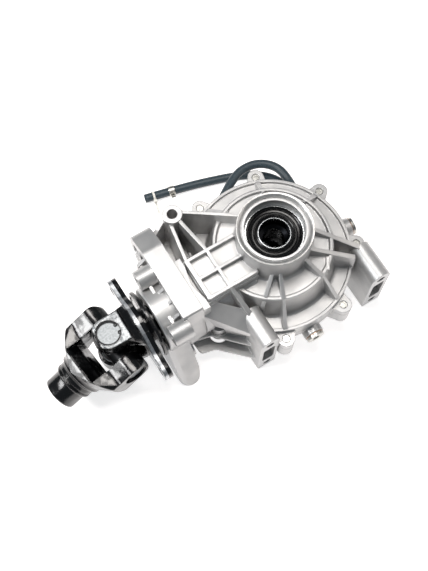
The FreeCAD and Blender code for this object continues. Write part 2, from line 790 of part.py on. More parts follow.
def side_cover():
    """Bowl over the ring gear, with its flange, lugs, ribs and the right axle boss."""
    floor = cover_floor - cover_wall
    outer = [(0, cover_top, 0), (flange_radius, cover_top, 0), (flange_radius, cover_top - 9.0, 0),
             (bowl_radius, cover_top - 10.0, 0), (bowl_radius - 2.0, floor, 8.0),
             (boss_radius, floor, 3.0), (boss_radius, case_bottom, 0), (0, case_bottom, 0)]
    shapes = [turned(outer)] + lug_webs(lug_bottom, cover_top)
    for angle in lug_angles:
        shapes.append(rod(lug_radius, lug_bottom, cover_top, "z", polar(lug_circle, angle)))
    rib_shape = sharp([(boss_radius - 3.0, floor + 3.0), (bowl_radius - 8.0, floor + 3.0),
                       (bowl_radius - 12.0, floor + 0.5), (boss_radius - 3.0, case_bottom + 5.0)])
    one_rib = prism(rib_shape, "xz", -cover_rib_thick / 2, cover_rib_thick / 2)
    shapes += around(one_rib, cover_rib_count, "z", 15.0)
    for angle, reach in ((filler_angle, plug_boss_reach), (drain_angle, drain_boss_reach)):
        shapes.append(radial_boss(angle, plug_z, plug_boss_radius, bowl_radius - 6.0, reach))
    shapes.append(radial_boss(breather_angle, elbow.z, breather_boss_radius, bowl_radius - 6.0,
                              breather_boss_reach))
    tower = bearing_outer + tower_wall
    cuts = [turned([(0, cover_top + 1.0, 0), (bowl_inner, cover_top + 1.0, 0), (bowl_inner, cover_floor, 5.0),
                    (tower, cover_floor, 0), (tower, right_bearing_top, 0), (0, right_bearing_top, 0)]),
            rod(bearing_outer, right_bearing_top, right_bearing_top - bearing_width),
            rod(seal_shoulder_radius, right_bearing_top, case_bottom),
            rod(seal_radius, case_bottom - 1.0, case_bottom + right_seal_depth + seal_width),
            rod(right_mouth_radius, case_bottom - 1.0, case_bottom + right_seal_depth - mouth_gap)]
    for angle in lug_angles:
        cuts.append(rod(bolt_hole, lug_bottom - 1.0, cover_top + 1.0, "z", polar(lug_circle, angle)))
    for angle in dowel_angles:
        cuts.append(rod(dowel_radius, dowel_bottom, cover_top + 1.0, "z", polar(dowel_circle, angle)))
    hole = plug_radius + running_gap
    for angle, reach in ((filler_angle, plug_boss_reach), (drain_angle, drain_boss_reach)):
        cuts.append(radial_boss(angle, plug_z, hole, bowl_inner - 6.0, reach + 1.0))
    cuts.append(radial_boss(breather_angle, elbow.z, breather_thread, bowl_inner - 6.0,
                            breather_boss_reach + 1.0))
    return cut_all(fuse_all(shapes), cuts)


def cover_gasket():
    shapes = [rod(flange_radius, cover_top, split_z)]
    cuts = [rod(bowl_inner + 1.0, cover_top - 1.0, split_z + 1.0)]
    for angle in lug_angles:
        shapes.append(rod(lug_radius, cover_top, split_z, "z", polar(lug_circle, angle)))
        cuts.append(rod(bolt_hole, cover_top - 1.0, split_z + 1.0, "z", polar(lug_circle, angle)))
    for angle in dowel_angles:
        cuts.append(rod(dowel_radius, cover_top - 1.0, split_z + 1.0, "z", polar(dowel_circle, angle)))
    return cut_all(fuse_all(shapes), cuts)


def dowel_pins():
    return Part.makeCompound([rod(dowel_radius, dowel_bottom, dowel_top, "z", polar(dowel_circle, angle))
                              for angle in dowel_angles])


def hexagon(half_flats, start, end, axis="z", at=(0.0, 0.0)):
    across = half_flats / math.cos(math.pi / 6)
    points = [(across * math.cos(index * math.pi / 3), across * math.sin(index * math.pi / 3))
              for index in range(6)]
    plane = {"z": "xy", "x": "yz", "y": "xz"}[axis]
    shape = prism(sharp(points), plane, min(start, end), max(start, end))
    shape.translate(spot(axis, 0.0, at))
    return shape


def cover_bolt(angle):
    place = polar(lug_circle, angle)
    under = lug_bottom - washer_thick
    shank = rod(bolt_radius, under, lug_top - 0.5, "z", place)
    return shank.fuse(hexagon(bolt_head_flats, under - bolt_head_height, under, "z", place)).removeSplitter()


def cover_washer(angle):
    return pipe(washer_radius, bolt_hole, lug_bottom - washer_thick, lug_bottom, "z", polar(lug_circle, angle))


def plug(angle, reach):
    """Screw plug with a low round head and a hexagon socket, pointing outwards at an angle."""
    seat = reach + washer_thick
    shape = rod(plug_radius, bowl_inner + 1.0, seat, "x", (0.0, plug_z))
    head = rod(plug_head_radius, seat, seat + plug_head_height, "x", (0.0, plug_z))
    key = hexagon(plug_key_flats, seat - plug_key_depth, seat + plug_head_height + 1.0, "x", (0.0, plug_z))
    shape = shape.fuse(head).cut(key)
    shape.rotate(vec(0, 0, 0), AXES["z"], angle)
    return shape


def plug_washer(angle, reach):
    shape = pipe(plug_head_radius, plug_radius + running_gap, reach, reach + washer_thick, "x", (0.0, plug_z))
    shape.rotate(vec(0, 0, 0), AXES["z"], angle)
    return shape


def oil_seal(outer, shaft, width, start, inward, axis="z", at=(0.0, 0.0)):
    """Shaft seal; inward is the direction along the axis from its outer face to the oil side."""
    lip = shaft + running_gap
    corners = [(outer, 0), (outer, width), (outer - 3.0, width), (outer - 3.0, 3.5), (lip + 3.0, 3.5),
               (lip + 3.0, width - 1.0), (lip, width - 2.0), (lip, 1.0), (lip + 1.0, 0.2), (lip + 2.5, 0.2),
               (lip + 4.0, 1.4), (outer - 4.0, 1.4), (outer - 2.5, 0)]
    moved = sharp([(radius, start + inward * depth) for radius, depth in corners])
    return turned(moved, axis, at)


# Deep-groove ball bearings, each lying from low to low + width along its axis
def race_thick(bore, outer):
    return race_share * (outer - bore)


def ball_radius(bore, outer):
    return ball_share * (outer - bore)


def ball_track(bore, outer, width, low, axis, at):
    track = Part.makeTorus((outer + bore) / 2, ball_radius(bore, outer) + running_gap)
    if axis == "x":
        track.rotate(vec(0, 0, 0), AXES["y"], 90)
    track.translate(spot(axis, low + width / 2, at))
    return track


def outer_race(bore, outer, width, low, axis="z", at=(0.0, 0.0)):
    ring = pipe(outer, outer - race_thick(bore, outer), low, low + width, axis, at)
    return ring.cut(ball_track(bore, outer, width, low, axis, at))


def inner_race(bore, outer, width, low, axis="z", at=(0.0, 0.0)):
    ring = pipe(bore + race_thick(bore, outer), bore, low, low + width, axis, at)
    return ring.cut(ball_track(bore, outer, width, low, axis, at))


def balls(bore, outer, width, low, count, axis="z", at=(0.0, 0.0)):
    shapes = []
    for index in range(count):
        u, v = polar((outer + bore) / 2, (index + 0.5) * 360.0 / count)
        where = spot(axis, low + width / 2, (u + at[0], v + at[1]))
        shapes.append(Part.makeSphere(ball_radius(bore, outer), where))
    return Part.makeCompound(shapes)


def place_gear(shape, direction):
    """Turns a gear made with its apex at the origin and its axis along +Z to its place."""
    turns = {"ring": ("x", 180), "right": ("x", 180), "left": ("x", 0), "pinion": ("y", -90),
             "spider_a": ("x", -90), "spider_b": ("x", 90)}
    axis, angle = turns[direction]
    shape.rotate(vec(0, 0, 0), AXES[axis], angle)
    shape.translate(vec(0, 0, pinion_z))
    return shape


def ring_bolt_places():
    step = 360.0 / ring_bolt_count
    return [polar(ring_bolt_circle, (index + 0.5) * step) for index in range(ring_bolt_count)]


def ring_gear():
    (tip_r, tip_h), (in_r, in_h), (root_r, root_h), (out_r, out_h) = ring_form.corners()
    back = pinion_z - ring_back_z
    inner_h = root_h + 3.0
    corners = sharp([(ring_gear_bore, back), (out_r - 1.0, back), (out_r, back - 1.0), (out_r, out_h),
                     (tip_r, tip_h), (in_r, in_h), (root_r, root_h), (ring_gear_bore + 5.0, inner_h),
                     (ring_gear_bore, inner_h)])
    cuts = ring_form.spaces(math.pi)
    for place in ring_bolt_places():
        cuts.append(rod(ring_bolt_radius, back - ring_bolt_depth, back + 1.0, "z", place))
    return place_gear(cut_all(turned(corners), cuts), "ring")


def shaft_end():
    """Distance from the axle axis to the seat of the pinion washer inside the flange yoke."""
    return -(plate_front_x + plate_thick)


def pinion_gear():
    """Pinion with its stepped shaft, spline end and thread."""
    (tip_r, tip_h), (in_r, in_h), (root_r, root_h), (out_r, out_h) = pinion_form.corners()
    back = -pinion_head_back
    bearing_end = -front_bearing_x + pinion_bearing_width
    tip = shaft_end() + pinion_nut_height + pinion_washer_thick + 1.5
    steps = sharp([(0, in_h + 1.5), (root_r - 3.0, in_h + 1.5), (in_r, in_h), (tip_r, tip_h), (out_r, out_h),
                   (out_r - 2.0, back), (pinion_shaft_radius, back), (pinion_shaft_radius, bearing_end),
                   (pinion_spline_radius, bearing_end), (pinion_spline_radius, shaft_end()),
                   (pinion_thread_radius, shaft_end()), (pinion_thread_radius, tip), (0, tip)])
    cuts = pinion_form.spaces(0.0)
    return place_gear(cut_all(turned(steps), cuts), "pinion")


def side_gear(direction, hub_end):
    (tip_r, tip_h), (in_r, in_h), (root_r, root_h), (out_r, out_h) = side_form.corners()
    reach = abs(hub_end - pinion_z)
    edge = tip_r + 0.9
    step = reach - side_pilot_depth
    corners = sharp([(side_spline_bore, in_h), (in_r, in_h), (tip_r, tip_h), (edge, tip_h + 1.8),
                     (edge, side_back_reach), (side_hub_radius, side_back_reach),
                     (side_hub_radius, reach - 0.8), (side_hub_radius - 0.8, reach), (side_pilot_bore, reach),
                     (side_pilot_bore, step), (side_spline_bore, step - 2.0)])
    return place_gear(cut_all(turned(corners), side_form.spaces(math.pi / 2)), direction)


def spider_gear(direction):
    (tip_r, tip_h), (in_r, in_h), (root_r, root_h), (out_r, out_h) = spider_form.corners()
    back = carrier_pocket - thrust_thick - washer_gap
    bore = cross_pin_radius + running_gap
    corners = sharp([(bore, in_h), (in_r, in_h), (tip_r, tip_h), (tip_r - 1.0, out_h - 0.4),
                     (tip_r - 3.0, back), (bore, back)])
    return place_gear(cut_all(turned(corners), spider_form.spaces(0.0)), direction)


def cavity_reach():
    """Half height of the room for the side gears inside the carrier."""
    return side_back_reach + washer_gap + thrust_thick


def carrier():
    """Case of the differential gears, with a window on each side and the flange for the ring gear."""
    wall = cavity_reach() + carrier_wall
    flange = pinion_z - carrier_flange_bottom
    seat = pinion_z - ring_back_z
    top = left_bearing_top - pinion_z
    low_seat = pinion_z - right_bearing_top
    low_end = low_seat + bearing_width
    shoulder = bearing_bore + 4.5
    corners = [(0, -low_end, 0), (bearing_bore, -low_end, 0), (bearing_bore, -low_seat, 0),
               (shoulder, -low_seat, 0), (shoulder, -flange, 0), (carrier_flange_radius, -flange, 0),
               (carrier_flange_radius, -seat, 0), (ring_gear_bore, -seat, 0), (ring_gear_bore, -seat + 12.0, 0),
               (carrier_radius, -seat + 13.0, 0), (carrier_radius, wall - 4.0, 0),
               (carrier_radius - 4.0, wall, 0), (shoulder, wall, 0),
               (shoulder, top - bearing_width, 0), (bearing_bore, top - bearing_width, 0),
               (bearing_bore, top, 0), (0, top, 0)]
    room = rod(tip_clearance_radius(), -cavity_reach(), cavity_reach())
    pocket = spider_form.corners()[0][0] + 1.2
    cuts = [room, rod(side_hub_radius + running_gap, -low_end - 1.0, top + 1.0),
            rod(cross_pin_radius + running_gap, -carrier_radius - 1.0, carrier_radius + 1.0, "y"),
            rod(pocket, -carrier_pocket, carrier_pocket, "y"),
            block(-carrier_radius - 1.0, carrier_radius + 1.0, -carrier_window_half, carrier_window_half,
                  -cavity_reach() + 3.0, cavity_reach() - 3.0),
            rod(lock_pin_radius, -lock_pin_length / 2, lock_pin_length / 2, "z", (0.0, lock_pin_y))]
    for place in ring_bolt_places():
        cuts.append(rod(ring_bolt_radius + running_gap, -flange - 1.0, -seat + 1.0, "z", place))
    shape = cut_all(turned(corners), cuts)
    shape.translate(vec(0, 0, pinion_z))
    return shape


def tip_clearance_radius():
    return side_form.corners()[0][0] + 2.0


def ring_gear_bolts():
    low = carrier_flange_bottom
    shapes = []
    for place in ring_bolt_places():
        shank = rod(ring_bolt_radius, low, ring_back_z + ring_bolt_depth - 1.0, "z", place)
        head = rod(ring_bolt_head, low - ring_bolt_head_height, low, "z", place)
        socket = hexagon(3.0, low - ring_bolt_head_height - 1.0, low - 1.5, "z", place)
        shapes.append(shank.fuse(head).cut(socket))
    return Part.makeCompound(shapes)


def cross_pin():
    pin = rod(cross_pin_radius, -carrier_radius + 0.6, carrier_radius - 0.6, "y", (0.0, pinion_z))
    return pin.cut(rod(lock_pin_radius, pinion_z - 20.0, pinion_z + 20.0, "z", (0.0, lock_pin_y)))


def lock_pin():
    half = lock_pin_length / 2
    return rod(lock_pin_radius, pinion_z - half, pinion_z + half, "z", (0.0, lock_pin_y))


def thrust_washer(side):
    start = pinion_z + side * (side_back_reach + washer_gap)
    return pipe(tip_clearance_radius() - 0.5, side_hub_radius + loose_gap, start, start + side * thrust_thick)


def spider_washers():
    start = carrier_pocket - thrust_thick
    outer = spider_form.corners()[0][0] - 0.5
    return Part.makeCompound([pipe(outer, cross_pin_radius + loose_gap, side * start, side * carrier_pocket, "y",
                                   (0.0, pinion_z)) for side in (-1, 1)])


def spacer(inner, outer):
    return pipe(outer, inner, front_bearing_x, rear_bearing_x - pinion_bearing_width, "x", (0.0, pinion_z))


def snap_ring():
    start = front_bearing_x - pinion_bearing_width - 0.3
    ring = pipe(pinion_bearing_outer + 1.4, pinion_bearing_outer - 3.5, start - snap_ring_thick, start, "x",
                (0.0, pinion_z))
    return ring.cut(block(start - 5.0, start + 1.0, -4.0, 4.0, pinion_z + 20.0, pinion_z + 60.0))


def dust_disc():
    """Pressed disc on the input hub, with a raised rim."""
    front = disc_front_x
    rim = disc_radius - 5.0
    edge = 1.0
    corners = [(hub_radius, front + 0.8), (rim, front + 0.8), (rim + 1.0, front), (disc_radius - edge, front),
               (disc_radius, front + edge), (disc_radius, front + disc_rim - edge),
               (disc_radius - edge, front + disc_rim), (rim, front + disc_rim), (rim - 1.0, front + disc_thick),
               (hub_radius, front + disc_thick)]
    return turned(sharp(corners), "x", (0.0, pinion_z))


def flange_plate():
    """Plate with two lobes, each with one bolt hole."""
    half = plate_lobe_half
    upper = [(plate_lobe_reach, half, half - 1.0), (plate_waist_radius + 3.0, half + 4.0, 10.0),
             (plate_waist_radius / 2, plate_waist_radius - 4.0, 0)]
    lobe = upper + [(u, -v, radius) for u, v, radius in upper[::-1]]
    back = plate_front_x + plate_thick
    shapes = [rod(plate_waist_radius, plate_front_x, back, "x")]
    for angle in (0.0, 180.0):
        one = prism(lobe, "yz", plate_front_x, back)
        one.rotate(vec(0, 0, 0), AXES["x"], angle)
        shapes.append(one)
    plate = fuse_all(shapes)
    plate.translate(vec(0, 0, pinion_z))
    cuts = [rod(plate_bore, plate_front_x - 1.0, plate_front_x + plate_thick + 1.0, "x", (0.0, pinion_z))]
    for side in (-1, 1):
        cuts.append(rod(plate_hole, plate_front_x - 1.0, plate_front_x + plate_thick + 1.0, "x",
                        (side * plate_hole_y, pinion_z)))
    return cut_all(plate, cuts)


def yoke_ears(slot, side_tail, plan_tail, shoulder, envelope):
    """Two yoke ears about a joint centre at the origin, shaft towards +X, cup bores along Z.
    The shoulder is the half width and height where the arms meet the base; the envelope is turned about X."""
    end = -ear_half_width
    side = [(end, -ear_face, ear_round), (end, -yoke_slot_half, 1.5), (slot, -yoke_slot_half, 7.0),
            (slot, yoke_slot_half, 7.0), (end, yoke_slot_half, 1.5), (end, ear_face, ear_round)]
    side += side_tail + [(s, -h, radius) for s, h, radius in side_tail[::-1]]
    plan = [(end, -ear_half_width, ear_half_width), (end, ear_half_width, ear_half_width)]
    plan += plan_tail + [(s, -w, radius) for s, w, radius in plan_tail[::-1]]
    wide, high = shoulder
    quarter = [(wide, high, 9.0), (ear_half_width, ear_face, ear_edge)]
    section = quarter + [(-w, h, radius) for w, h, radius in quarter[::-1]]
    section += [(-w, -h, radius) for w, h, radius in quarter]
    section += [(w, -h, radius) for w, h, radius in quarter[::-1]]
    body = prism(side, "xz", -60.0, 60.0).common(prism(plan, "xy", -60.0, 60.0))
    return body.common(prism(section, "yz", -60.0, 60.0)).common(turned(envelope, "x"))


def cup_bores():
    """Bores through both ears with a groove for the retaining ring of each cup."""
    cuts = [rod(cup_radius, -ear_face - 1.0, ear_face + 1.0)]
    for side in (-1, 1):
        start = side * cup_outer_face
        cuts.append(rod(cup_radius + clip_groove + 0.1, start, start + side * (clip_thick + 0.1)))
    return cuts


def flange_yoke():
    base = 30.0
    tail = [(19.5, ear_face, 1.5), (20.5, ear_face - 8.0, 5.0), (base, flange_yoke_radius, 0)]
    plan = [(14.0, ear_half_width, 10.0), (base, 26.0, 0)]
    envelope = sharp([(0, -20.0), (ear_face + 6.0, -20.0), (ear_face + 6.0, 21.0),
                      (flange_yoke_radius + 3.0, base), (0, base)])
    shape = yoke_ears(flange_yoke_slot, tail, plan, (26.0, 24.0), envelope)
    front = joint_x + flange_yoke_slot
    hub_end = front_bearing_x - pinion_bearing_width
    shape.translate(vec(joint_x, 0, pinion_z))
    line = (0.0, pinion_z)
    shape = fuse_all([shape, rod(flange_yoke_radius, front, plate_front_x, "x", line),
                      rod(plate_bore, plate_front_x, plate_front_x + plate_thick, "x", line),
                      rod(hub_radius, plate_front_x + plate_thick, hub_end, "x", line)])
    cuts = []
    for cut in cup_bores():
        cut.translate(vec(joint_x, 0, pinion_z))
        cuts.append(cut)
    cuts.append(rod(pinion_spline_radius + running_gap, front, neck_end_x, "x", line))
    cuts.append(rod(nut_room, front - 1.0, -shaft_end(), "x", line))
    return cut_all(shape, cuts)


def pinion_washer():
    seat = -shaft_end()
    return pipe(nut_room - 0.4, pinion_thread_radius + loose_gap, seat - pinion_washer_thick, seat, "x",
                (0.0, pinion_z))


def pinion_nut():
    start = -shaft_end() - pinion_washer_thick
    nut = hexagon(pinion_nut_flats, start - pinion_nut_height, start, "x", (0.0, pinion_z))
    return nut.cut(rod(pinion_thread_radius, start - 30.0, start + 1.0, "x", (0.0, pinion_z)))


def socket_yoke():
    """Yoke with a neck, a collar and a tube end with a splined socket."""
    neck = socket_neck_radius
    base = socket_neck_end - 2.0
    tail = [(base, ear_face, 0)]
    plan = [(16.0, ear_half_width, 14.0), (36.0, neck, 10.0), (base, neck, 0)]
    envelope = [(0, -20.0, 0), (ear_face + 5.0, -20.0, 0), (ear_face + 5.0, 23.0, 14.0),
                (neck + 1.0, 43.0, 8.0), (neck, base, 0), (0, base, 0)]
    shape = yoke_ears(socket_slot, tail, plan, (neck, 27.0), envelope)
    body = turned([(0, 36.0, 0), (neck - 3.0, 36.0, 2.0), (neck, 40.0, 2.0), (neck, socket_neck_end, 2.5),
                   (socket_collar_radius, socket_neck_end + 3.0, 1.5),
                   (socket_collar_radius, socket_collar_end, 1.0),
                   (socket_tube_radius, socket_collar_end + 1.0, 0), (socket_tube_radius, socket_tube_end, 1.5),
                   (0, socket_tube_end, 0)], "x")
    low = [(-30.0, -60.0, 0), (52.0, -60.0, 0), (socket_slot + 14.0, -40.0, 0), (socket_slot, -12.0, 10.0)]
    wedge = low + [(u, -v, radius) for u, v, radius in low[::-1]]
    cuts = cup_bores() + [prism(wedge, "xy", -yoke_slot_half, yoke_slot_half),
                          rod(socket_bore, socket_tube_end - socket_bore_depth, socket_tube_end + 1.0, "x"),
                          pipe(socket_collar_radius + 1.0, socket_collar_radius - 1.0, socket_collar_end - 4.5,
                               socket_collar_end - 2.5, "x")]
    return place_socket(cut_all(fuse_all([shape, body]), cuts))


def place_socket(shape):
    """From yoke_ears' frame to the socket yoke's place: it hangs down and a little to one side."""
    shape.rotate(vec(0, 0, 0), AXES["x"], 90)
    shape.rotate(vec(0, 0, 0), AXES["z"], 180)
    shape.rotate(vec(0, 0, 0), AXES["y"], -droop_angle)
    shape.rotate(vec(0, 0, 0), AXES["z"], swing_angle)
    shape.translate(vec(joint_x, 0, pinion_z))
    return shape


def place_flange_side(shape):
    shape.translate(vec(joint_x, 0, pinion_z))
    return shape


def bearing_cups():
    """Two needle cups on one axis of the cross, open towards it."""
    shapes = []
    for side in (-1, 1):
        low = side * (cup_outer_face - cup_height)
        cup = rod(cup_radius, low, side * cup_outer_face)
        cup = cup.cut(rod(trunnion_radius + running_gap, low - side, side * (cup_outer_face - cup_floor)))
        shapes.append(cup)
    return Part.makeCompound(shapes)


def retaining_rings():
    """Two internal retaining rings with a gap and two eyes."""
    shapes = []
    outer = cup_radius + clip_groove
    for side in (-1, 1):
        start = side * cup_outer_face
        end = start + side * clip_thick
        ring = pipe(outer, outer - clip_width, start, end)
        gap = block(outer - 6.0, outer + 2.0, -3.2, 3.2, min(start, end) - 1.0, max(start, end) + 1.0)
        ring = ring.cut(gap)
        for v in (-4.6, 4.6):
            eye = pipe(1.9, 0.8, start, end, "z", (outer - clip_width - 1.0, v))
            ring = ring.cut(rod(0.8, start, end, "z", (outer - clip_width - 1.0, v))).fuse(eye)
        shapes.append(ring)
    return Part.makeCompound(shapes)


def joint_cross():
    """Cross with four trunnions; its second axis is turned by the swing of the rest pose."""
    reach = cup_outer_face - cup_floor - loose_gap
    collar = yoke_slot_half - cross_seal_thick - 1.0
    second = [rod(trunnion_radius, -reach, reach, "y"), rod(trunnion_radius + 1.6, -collar, collar, "y")]
    for shape in second:
        shape.rotate(vec(0, 0, 0), AXES["z"], swing_angle)
    shapes = [Part.makeSphere(cross_core_radius), rod(trunnion_radius, -reach, reach),
              rod(trunnion_radius + 1.6, -collar, collar)]
    return place_flange_side(fuse_all(shapes + second))


def cross_seals():
    shapes = []
    low = yoke_slot_half - cross_seal_thick - 1.0
    for side in (-1, 1):
        for axis in ("z", "y"):
            ring = pipe(cross_seal_radius, trunnion_radius + 0.05, side * low,
                        side * (low + cross_seal_thick), axis)
            ring.rotate(vec(0, 0, 0), AXES["z"], swing_angle)
            shapes.append(ring)
    return place_flange_side(Part.makeCompound(shapes))


# Breather elbow, hose and what is on the hose
def breather_fitting():
    """Elbow screwed into the cover's boss, with a barb that the hose is pushed over."""
    reach = math.hypot(elbow.x, elbow.y)
    stem = radial_boss(breather_angle, elbow.z, breather_thread, bowl_inner + 1.0, reach)
    head = hexagon(breather_flats, breather_boss_reach, breather_boss_reach + 2.0, "x", (0.0, elbow.z))
    head.rotate(vec(0, 0, 0), AXES["z"], breather_angle)
    knee = Part.makeSphere(breather_thread, elbow)
    barb = Part.makeCylinder(barb_radius, barb_length, elbow, hose_ahead)
    return fuse_all([stem, head, knee, barb])


def route_edges():
    """The hose's centre line: straight runs joined by arcs as large as the runs allow."""
    points = [vec(*point) for point in hose_route]
    edges = []
    last = points[0]
    for index in range(1, len(points) - 1):
        here = points[index]
        before = points[index - 1] - here
        after = points[index + 1] - here
        half = before.getAngle(after) / 2
        reach = 0.45 * min(before.Length, after.Length)
        radius = reach * math.tan(half)
        back = vec(before.x, before.y, before.z).normalize()
        ahead = vec(after.x, after.y, after.z).normalize()
        start = here + back * reach
        end = here + ahead * reach
        inward = (back + ahead).normalize()
        crown = here + inward * (radius / math.sin(half) - radius)
        edges.append(Part.LineSegment(last, start).toShape())
        edges.append(Part.Arc(start, crown, end).toShape())
        print("hose bend", index, "radius", round(radius, 1))
        last = end
    edges.append(Part.LineSegment(last, points[-1]).toShape())
    return edges


def breather_hose():
    spine = Part.Wire(route_edges())
    print("hose length", round(spine.Length, 1))
    tubes = []
    for radius in (hose_radius, hose_bore):
        ring = Part.Wire(Part.makeCircle(radius, hose_start, hose_ahead))
        tubes.append(spine.makePipeShell([ring], True, False))
    return tubes[0].cut(tubes[1])


def on_tail(shape, along):
    """Moves a shape made about the origin along +X to its place on the hose's last run."""
    start = vec(*hose_route[-2])
    ahead = (vec(*hose_route[-1]) - start).normalize()
    shape.rotate(vec(0, 0, 0), AXES["z"], math.degrees(math.atan2(ahead.y, ahead.x)))
    shape.translate(start + ahead * along)
    return shape


def hose_clamp():
    """Spring band whose two tongues point up and away from the case."""
    half = clamp_width / 2
    inner = hose_radius + band_gap
    shapes = [pipe(inner + band_thick, inner, -half, half, "x")]
    for y in (-2.6, 2.6):
        low = min(y, y - math.copysign(band_thick, y))
        tongue = block(-half + 1.0, half - 1.0, low, low + band_thick, hose_radius - 0.6, hose_radius + 5.0)
        shapes.append(tongue)
    shapes.append(block(-half + 1.0, half - 1.0, -4.6, -2.6 + band_thick, hose_radius + 5.0 - band_thick,
                        hose_radius + 5.0))
    shapes.append(block(-half + 1.0, half - 1.0, 2.6 - band_thick, 4.6, hose_radius + 5.0 - band_thick,
                        hose_radius + 5.0))
    clamp = fuse_all(shapes).cut(rod(inner, -half - 1.0, half + 1.0, "x"))
    clamp.rotate(vec(0, 0, 0), AXES["x"], clamp_turn)
    return on_tail(clamp, clamp_along)


def hose_tie():
    """Cable tie with its head and a short tail that lies towards the case."""
    half = tie_width / 2
    inner = hose_radius + band_gap
    shapes = [pipe(inner + band_thick, inner, -half, half, "x"),
              block(-half - 0.6, half + 0.6, hose_radius - 0.5, hose_radius + 3.6, -2.2, 2.2)]
    tail = [(hose_radius + 2.0, -1.0, 0), (hose_radius + 3.0, -1.0, 0), (hose_radius + 5.0, -4.6, 2.0),
            (hose_radius + 16.0, -4.6, 0), (hose_radius + 16.0, -5.4, 0), (hose_radius + 4.0, -5.4, 3.0)]
    shapes.append(prism(tail, "yz", -half, half))
    bore = rod(inner, -half - 1.0, half + 1.0, "x")
    return on_tail(fuse_all(shapes).cut(bore), tie_along)


def export(node, shape):
    shape.exportStep("parts/" + node + ".step")


def bolts_of(maker):
    return Part.makeCompound([maker(angle) for angle in lug_angles])


# Housing
export("gearcase", gearcase())
export("side_cover", side_cover())
export("cover_gasket", cover_gasket())
export("dowel_pins", dowel_pins())
export("cover_bolts", bolts_of(cover_bolt))
export("cover_washers", bolts_of(cover_washer))
export("filler_plug", plug(filler_angle, plug_boss_reach))
export("filler_washer", plug_washer(filler_angle, plug_boss_reach))
export("drain_plug", plug(drain_angle, drain_boss_reach))
export("drain_washer", plug_washer(drain_angle, drain_boss_reach))
export("left_oil_seal", oil_seal(seal_radius, side_hub_radius, seal_width, -left_seal_depth, -1))
export("right_oil_seal", oil_seal(seal_radius, side_hub_radius, seal_width, case_bottom + right_seal_depth, 1))

# Axle bearings
left_low = left_bearing_top - bearing_width
right_low = right_bearing_top - bearing_width
for side, low in (("left", left_low), ("right", right_low)):
    sizes = (bearing_bore, bearing_outer, bearing_width, low)
    export(side + "_bearing_outer_race", outer_race(*sizes))
    export(side + "_bearing_inner_race", inner_race(*sizes))
    export(side + "_bearing_balls", balls(*sizes, axle_ball_count))

# Carrier and the differential gears
export("carrier", carrier())
export("ring_gear", ring_gear())
export("ring_gear_bolts", ring_gear_bolts())
export("cross_pin", cross_pin())
export("lock_pin", lock_pin())
export("left_side_gear", side_gear("left", left_hub_end))
export("right_side_gear", side_gear("right", right_hub_end))
export("left_thrust_washer", thrust_washer(1))
export("right_thrust_washer", thrust_washer(-1))
export("spider_gear_a", spider_gear("spider_a"))
export("spider_gear_b", spider_gear("spider_b"))
export("spider_washers", spider_washers())

# Pinion and its bearings
line = (0.0, pinion_z)
export("pinion_gear", pinion_gear())
for place, start in (("rear", rear_bearing_x), ("front", front_bearing_x)):
    sizes = (pinion_shaft_radius, pinion_bearing_outer, pinion_bearing_width, start - pinion_bearing_width)
    export("pinion_" + place + "_outer_race", outer_race(*sizes, "x", line))
    export("pinion_" + place + "_inner_race", inner_race(*sizes, "x", line))
    export("pinion_" + place + "_balls", balls(*sizes, ball_count, "x", line))
inner_edge = pinion_shaft_radius + race_thick(pinion_shaft_radius, pinion_bearing_outer)
outer_edge = pinion_bearing_outer - race_thick(pinion_shaft_radius, pinion_bearing_outer)
export("pinion_inner_spacer", spacer(pinion_shaft_radius, inner_edge))
export("pinion_outer_spacer", spacer(outer_edge, pinion_bearing_outer))
export("pinion_snap_ring", snap_ring())
export("input_seal", oil_seal(pinion_bearing_outer, hub_radius, input_seal_width,
                              input_seal_x - input_seal_width, 1, "x", line))

# Input flange, universal joint and shaft socket
export("flange_yoke", flange_yoke())
export("flange_plate", flange_plate())
export("dust_disc", dust_disc())
export("pinion_washer", pinion_washer())
export("pinion_nut", pinion_nut())
export("flange_yoke_cups", place_flange_side(bearing_cups()))
export("flange_yoke_rings", place_flange_side(retaining_rings()))
export("joint_cross", joint_cross())
export("cross_seals", cross_seals())
export("socket_yoke", socket_yoke())
export("socket_yoke_cups", place_socket(bearing_cups()))
export("socket_yoke_rings", place_socket(retaining_rings()))

# Breather
export("breather_fitting", breather_fitting())
export("breather_hose", breather_hose())
export("hose_clamp", hose_clamp())
export("hose_tie", hose_tie())
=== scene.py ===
import bmesh
import bpy
import math
from mathutils import Matrix, Vector


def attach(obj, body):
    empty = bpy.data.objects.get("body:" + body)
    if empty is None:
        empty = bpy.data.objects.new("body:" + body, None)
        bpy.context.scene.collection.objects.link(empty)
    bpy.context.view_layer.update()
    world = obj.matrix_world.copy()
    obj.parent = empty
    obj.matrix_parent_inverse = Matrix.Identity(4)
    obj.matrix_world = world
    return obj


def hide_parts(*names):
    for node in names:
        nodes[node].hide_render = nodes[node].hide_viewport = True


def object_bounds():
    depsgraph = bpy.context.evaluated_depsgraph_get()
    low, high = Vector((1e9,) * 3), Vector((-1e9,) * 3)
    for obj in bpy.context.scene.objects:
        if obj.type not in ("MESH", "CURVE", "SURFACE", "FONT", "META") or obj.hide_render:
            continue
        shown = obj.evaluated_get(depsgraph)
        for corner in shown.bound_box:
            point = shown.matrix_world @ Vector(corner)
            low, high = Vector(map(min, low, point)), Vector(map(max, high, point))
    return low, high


# Rear differential of a small four-wheel vehicle, lying on its right side.
# Metres. The origin is the centre of the left axle boss face, and +Z points out of it.

